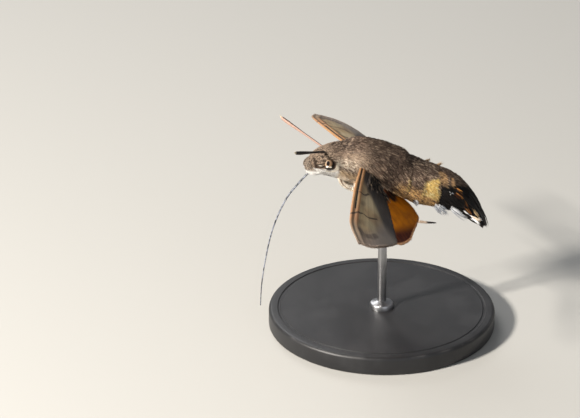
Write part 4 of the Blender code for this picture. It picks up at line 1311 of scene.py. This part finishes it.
fore_finish = Finish("forewing scales")
span, chord, margin = fore_finish.parts(fore_finish.mark("mark")[0])
vein = fore_finish.mark("vein")[1]
bar = fore_finish.mark("bar")[1]
fore_tone = fore_finish.mark("tone")[1]
fore_mark = fore_finish.mark("mark")[0]
fore_cloud = fore_finish.noise(fore_mark, 0.35, 4.0)
fore_scale = fore_finish.noise(fore_finish.stretched(fore_mark, (3.0, 9.0, 0.0)), 1.6, 3.0, 0.7)
wobble = (fore_cloud - 0.5) * 1.4
fore_colour = fore_finish.mix(fore_cloud.step(0.35, 0.65), tint(140, 117, 90), tint(170, 148, 112))
fore_colour = fore_finish.mix((chord * 0.16 + span * 0.03 + wobble * 0.2).step(0.95, 1.45) * 0.75,
                              fore_colour, tint(136, 130, 128))
fore_colour = fore_finish.mix((span + wobble).band(6.4, 10.5, 1.0) * chord.band(1.6, 5.0, 0.8) * 0.75,
                              fore_colour, tint(184, 168, 136))
# Painted shade: the rear of the forewing next to the body is darkened to blue-black, and its base behind the front
# bars to near black.
rear_painted_shade = (chord - span * 0.62 + wobble * 0.5).step(-2.4, -1.0) * (1 - span.step(10.5, 15.0))
fore_colour = fore_finish.mix(rear_painted_shade * (0.75 + fore_scale * 0.3), fore_colour, tint(46, 45, 50))
base_painted_shade = (1 - (span + wobble).step(4.0, 8.0)) * chord.step(1.3, 2.0)
fore_colour = fore_finish.mix(base_painted_shade * 0.9, fore_colour, tint(32, 28, 28))
root_hair = (1 - span.step(4.0, 6.0)) * fore_tone.step(0.70, 0.92)
fore_colour = fore_finish.mix(root_hair * 0.85, fore_colour, tint(150, 130, 106))
fore_colour = fore_finish.mix(bar.step(0.25, 0.7) * 0.9, fore_colour,
                              fore_finish.mix(fore_scale.step(0.35, 0.6), tint(142, 102, 68), tint(174, 128, 86)))
merged = span.step(11.0, 13.5) * (1 - span.step(15.5, 18.5)) * (1 - (chord - span * 0.09).step(0.0, 0.3))
fore_colour = fore_finish.mix(merged * (0.45 + fore_scale * 0.5), fore_colour, tint(164, 120, 88))
fore_colour = fore_finish.mix(span.step(15.5, 20.5) * 0.6, fore_colour, tint(136, 122, 114))
costal_line = line_at(
    fore_finish, span, chord,
    ((-0.8, -0.12), (2.1, -0.07), (4.7, 0.03), (7.6, 0.16), (11.1, 0.39), (13.2, 0.58)), 0.18)
inner_line = line_at(fore_finish, span + wobble, chord,
                     ((7.8, 0.4), (7.4, 1.55), (6.4, 2.1)), 0.25)
outer_line = line_at(fore_finish, span + wobble, chord,
                     ((15.3, 0.1), (14.1, 1.07), (13.3, 2.1), (13.4, 3.0), (11.8, 4.5)), 0.24)
smudge = line_at(fore_finish, span + wobble * 0.8, chord,
                 ((17.9, 1.9), (19.0, 3.1), (17.9, 4.5), (16.6, 5.1)), 0.7)
blotch = span.band(9.6, 10.9, 0.4) * chord.band(1.2, 2.0, 0.3)
fore_colour = fore_finish.mix(blotch * 0.45, fore_colour, tint(92, 76, 62))
glaze = (span + wobble).band(13.8, 16.2, 0.8) * chord.band(2.6, 4.6, 0.8)
fore_colour = fore_finish.mix(glaze * 0.45, fore_colour, tint(172, 164, 134))
fore_colour = fore_finish.mix(smudge * 0.7, fore_colour, tint(84, 72, 66))
lines_mask = inner_line.math("MAXIMUM", outer_line)
fore_colour = fore_finish.mix(lines_mask * 0.85, fore_colour, tint(52, 42, 38))
fore_colour = fore_finish.mix(costal_line * 0.95, fore_colour, tint(24, 20, 20))
fore_colour = fore_finish.mix((fore_scale - 0.5).step(0.02, 0.30) * 0.25, fore_colour, tint(180, 166, 142))
fore_colour = fore_finish.mix((0.5 - fore_scale).step(0.02, 0.30) * 0.35, fore_colour, tint(72, 62, 54))
fore_colour = fore_finish.mix(vein * 0.06, fore_colour, tint(86, 74, 64))
fore_colour = fore_finish.mix((1 - margin.step(0.05, 0.25)) * span.step(12.0, 15.0), fore_colour,
                              tint(150, 132, 118))
fore_material = fore_finish.end(fore_colour, 0.62 + fore_scale * 0.15,
                                fore_finish.bump(fore_scale, 0.00004, 0.5), Specular_IOR_Level=0.3)

hind_finish = Finish("hindwing scales")
span, chord, margin = hind_finish.parts(hind_finish.mark("mark")[0])
vein = hind_finish.mark("vein")[1]
hind_mark = hind_finish.mark("mark")[0]
hind_cloud = hind_finish.noise(hind_mark, 0.4, 4.0)
hind_scale = hind_finish.noise(hind_finish.stretched(hind_mark, (3.0, 9.0, 0.0)), 1.6, 3.0, 0.7)
wobble = (hind_cloud - 0.5) * 1.2
hind_colour = hind_finish.mix(hind_cloud.step(0.3, 0.7), tint(168, 94, 1), tint(206, 121, 3))
hind_colour = hind_finish.mix((chord + span * 0.6 + wobble).step(12.3, 14.6), hind_colour, tint(64, 18, 9))
notch = (1 - (chord + wobble * 0.5).step(7.2, 8.0)) * (1 - span.step(-0.4, 0.5))
base = (1 - (chord + span * 0.51 + wobble * 0.5).step(6.1, 7.0)).math("MAXIMUM", notch)
hind_colour = hind_finish.mix(base, hind_colour, tint(30, 20, 17))
hind_colour = hind_finish.mix(1 - margin.step(0.05, 0.25), hind_colour, tint(206, 160, 120))
hind_colour = hind_finish.mix((hind_scale - 0.5).step(0.02, 0.35) * 0.2, hind_colour, tint(226, 146, 40))
hind_colour = hind_finish.mix(vein * 0.3, hind_colour, tint(150, 74, 14))
hind_material = hind_finish.end(hind_colour, 0.6 + hind_scale * 0.15,
                                hind_finish.bump(hind_scale, 0.00004, 0.5), Specular_IOR_Level=0.2)

for side, word in ((1, "left"), (-1, "right")):
    fore = wing_sheet("forewing_" + word, side, FORE_COSTA, FORE_TERMEN, FORE_DORSUM, FORE_VEINS,
                      0.0, fore_camber, ((0.16, 0.26), (1.09, 0.32)))
    attach(fore, "forewing_" + word, fore_material)
    hind = wing_sheet("hindwing_" + word, side, HIND_COSTA, HIND_TERMEN, HIND_DORSUM, HIND_VEINS,
                      HIND_BELOW, hind_camber, ())
    attach(hind, "hindwing_" + word, hind_material)
    grow_tufts("forewing_fringe_" + word, fore, scatter, "forewings", Tuft=hair_tuft,
               Finish=fore_material, Per_square_metre=130.0 / MM ** 2, Width=0.08 * MM,
               Spread=0.08, From=-9.0, To=99.0, Seed=61)
    grow_tufts("hindwing_fringe_" + word, hind, scatter, "hindwings", Tuft=hair_tuft,
               Finish=hind_material, Per_square_metre=130.0 / MM ** 2, Width=0.08 * MM,
               Spread=0.08, From=-9.0, To=99.0, Seed=62)


# ---------------------------------------------------------------------------
# Close: the tuft patterns go.
# ---------------------------------------------------------------------------
for pattern in (hair_tuft, ribbon_scale):
    bpy.data.objects.remove(pattern)
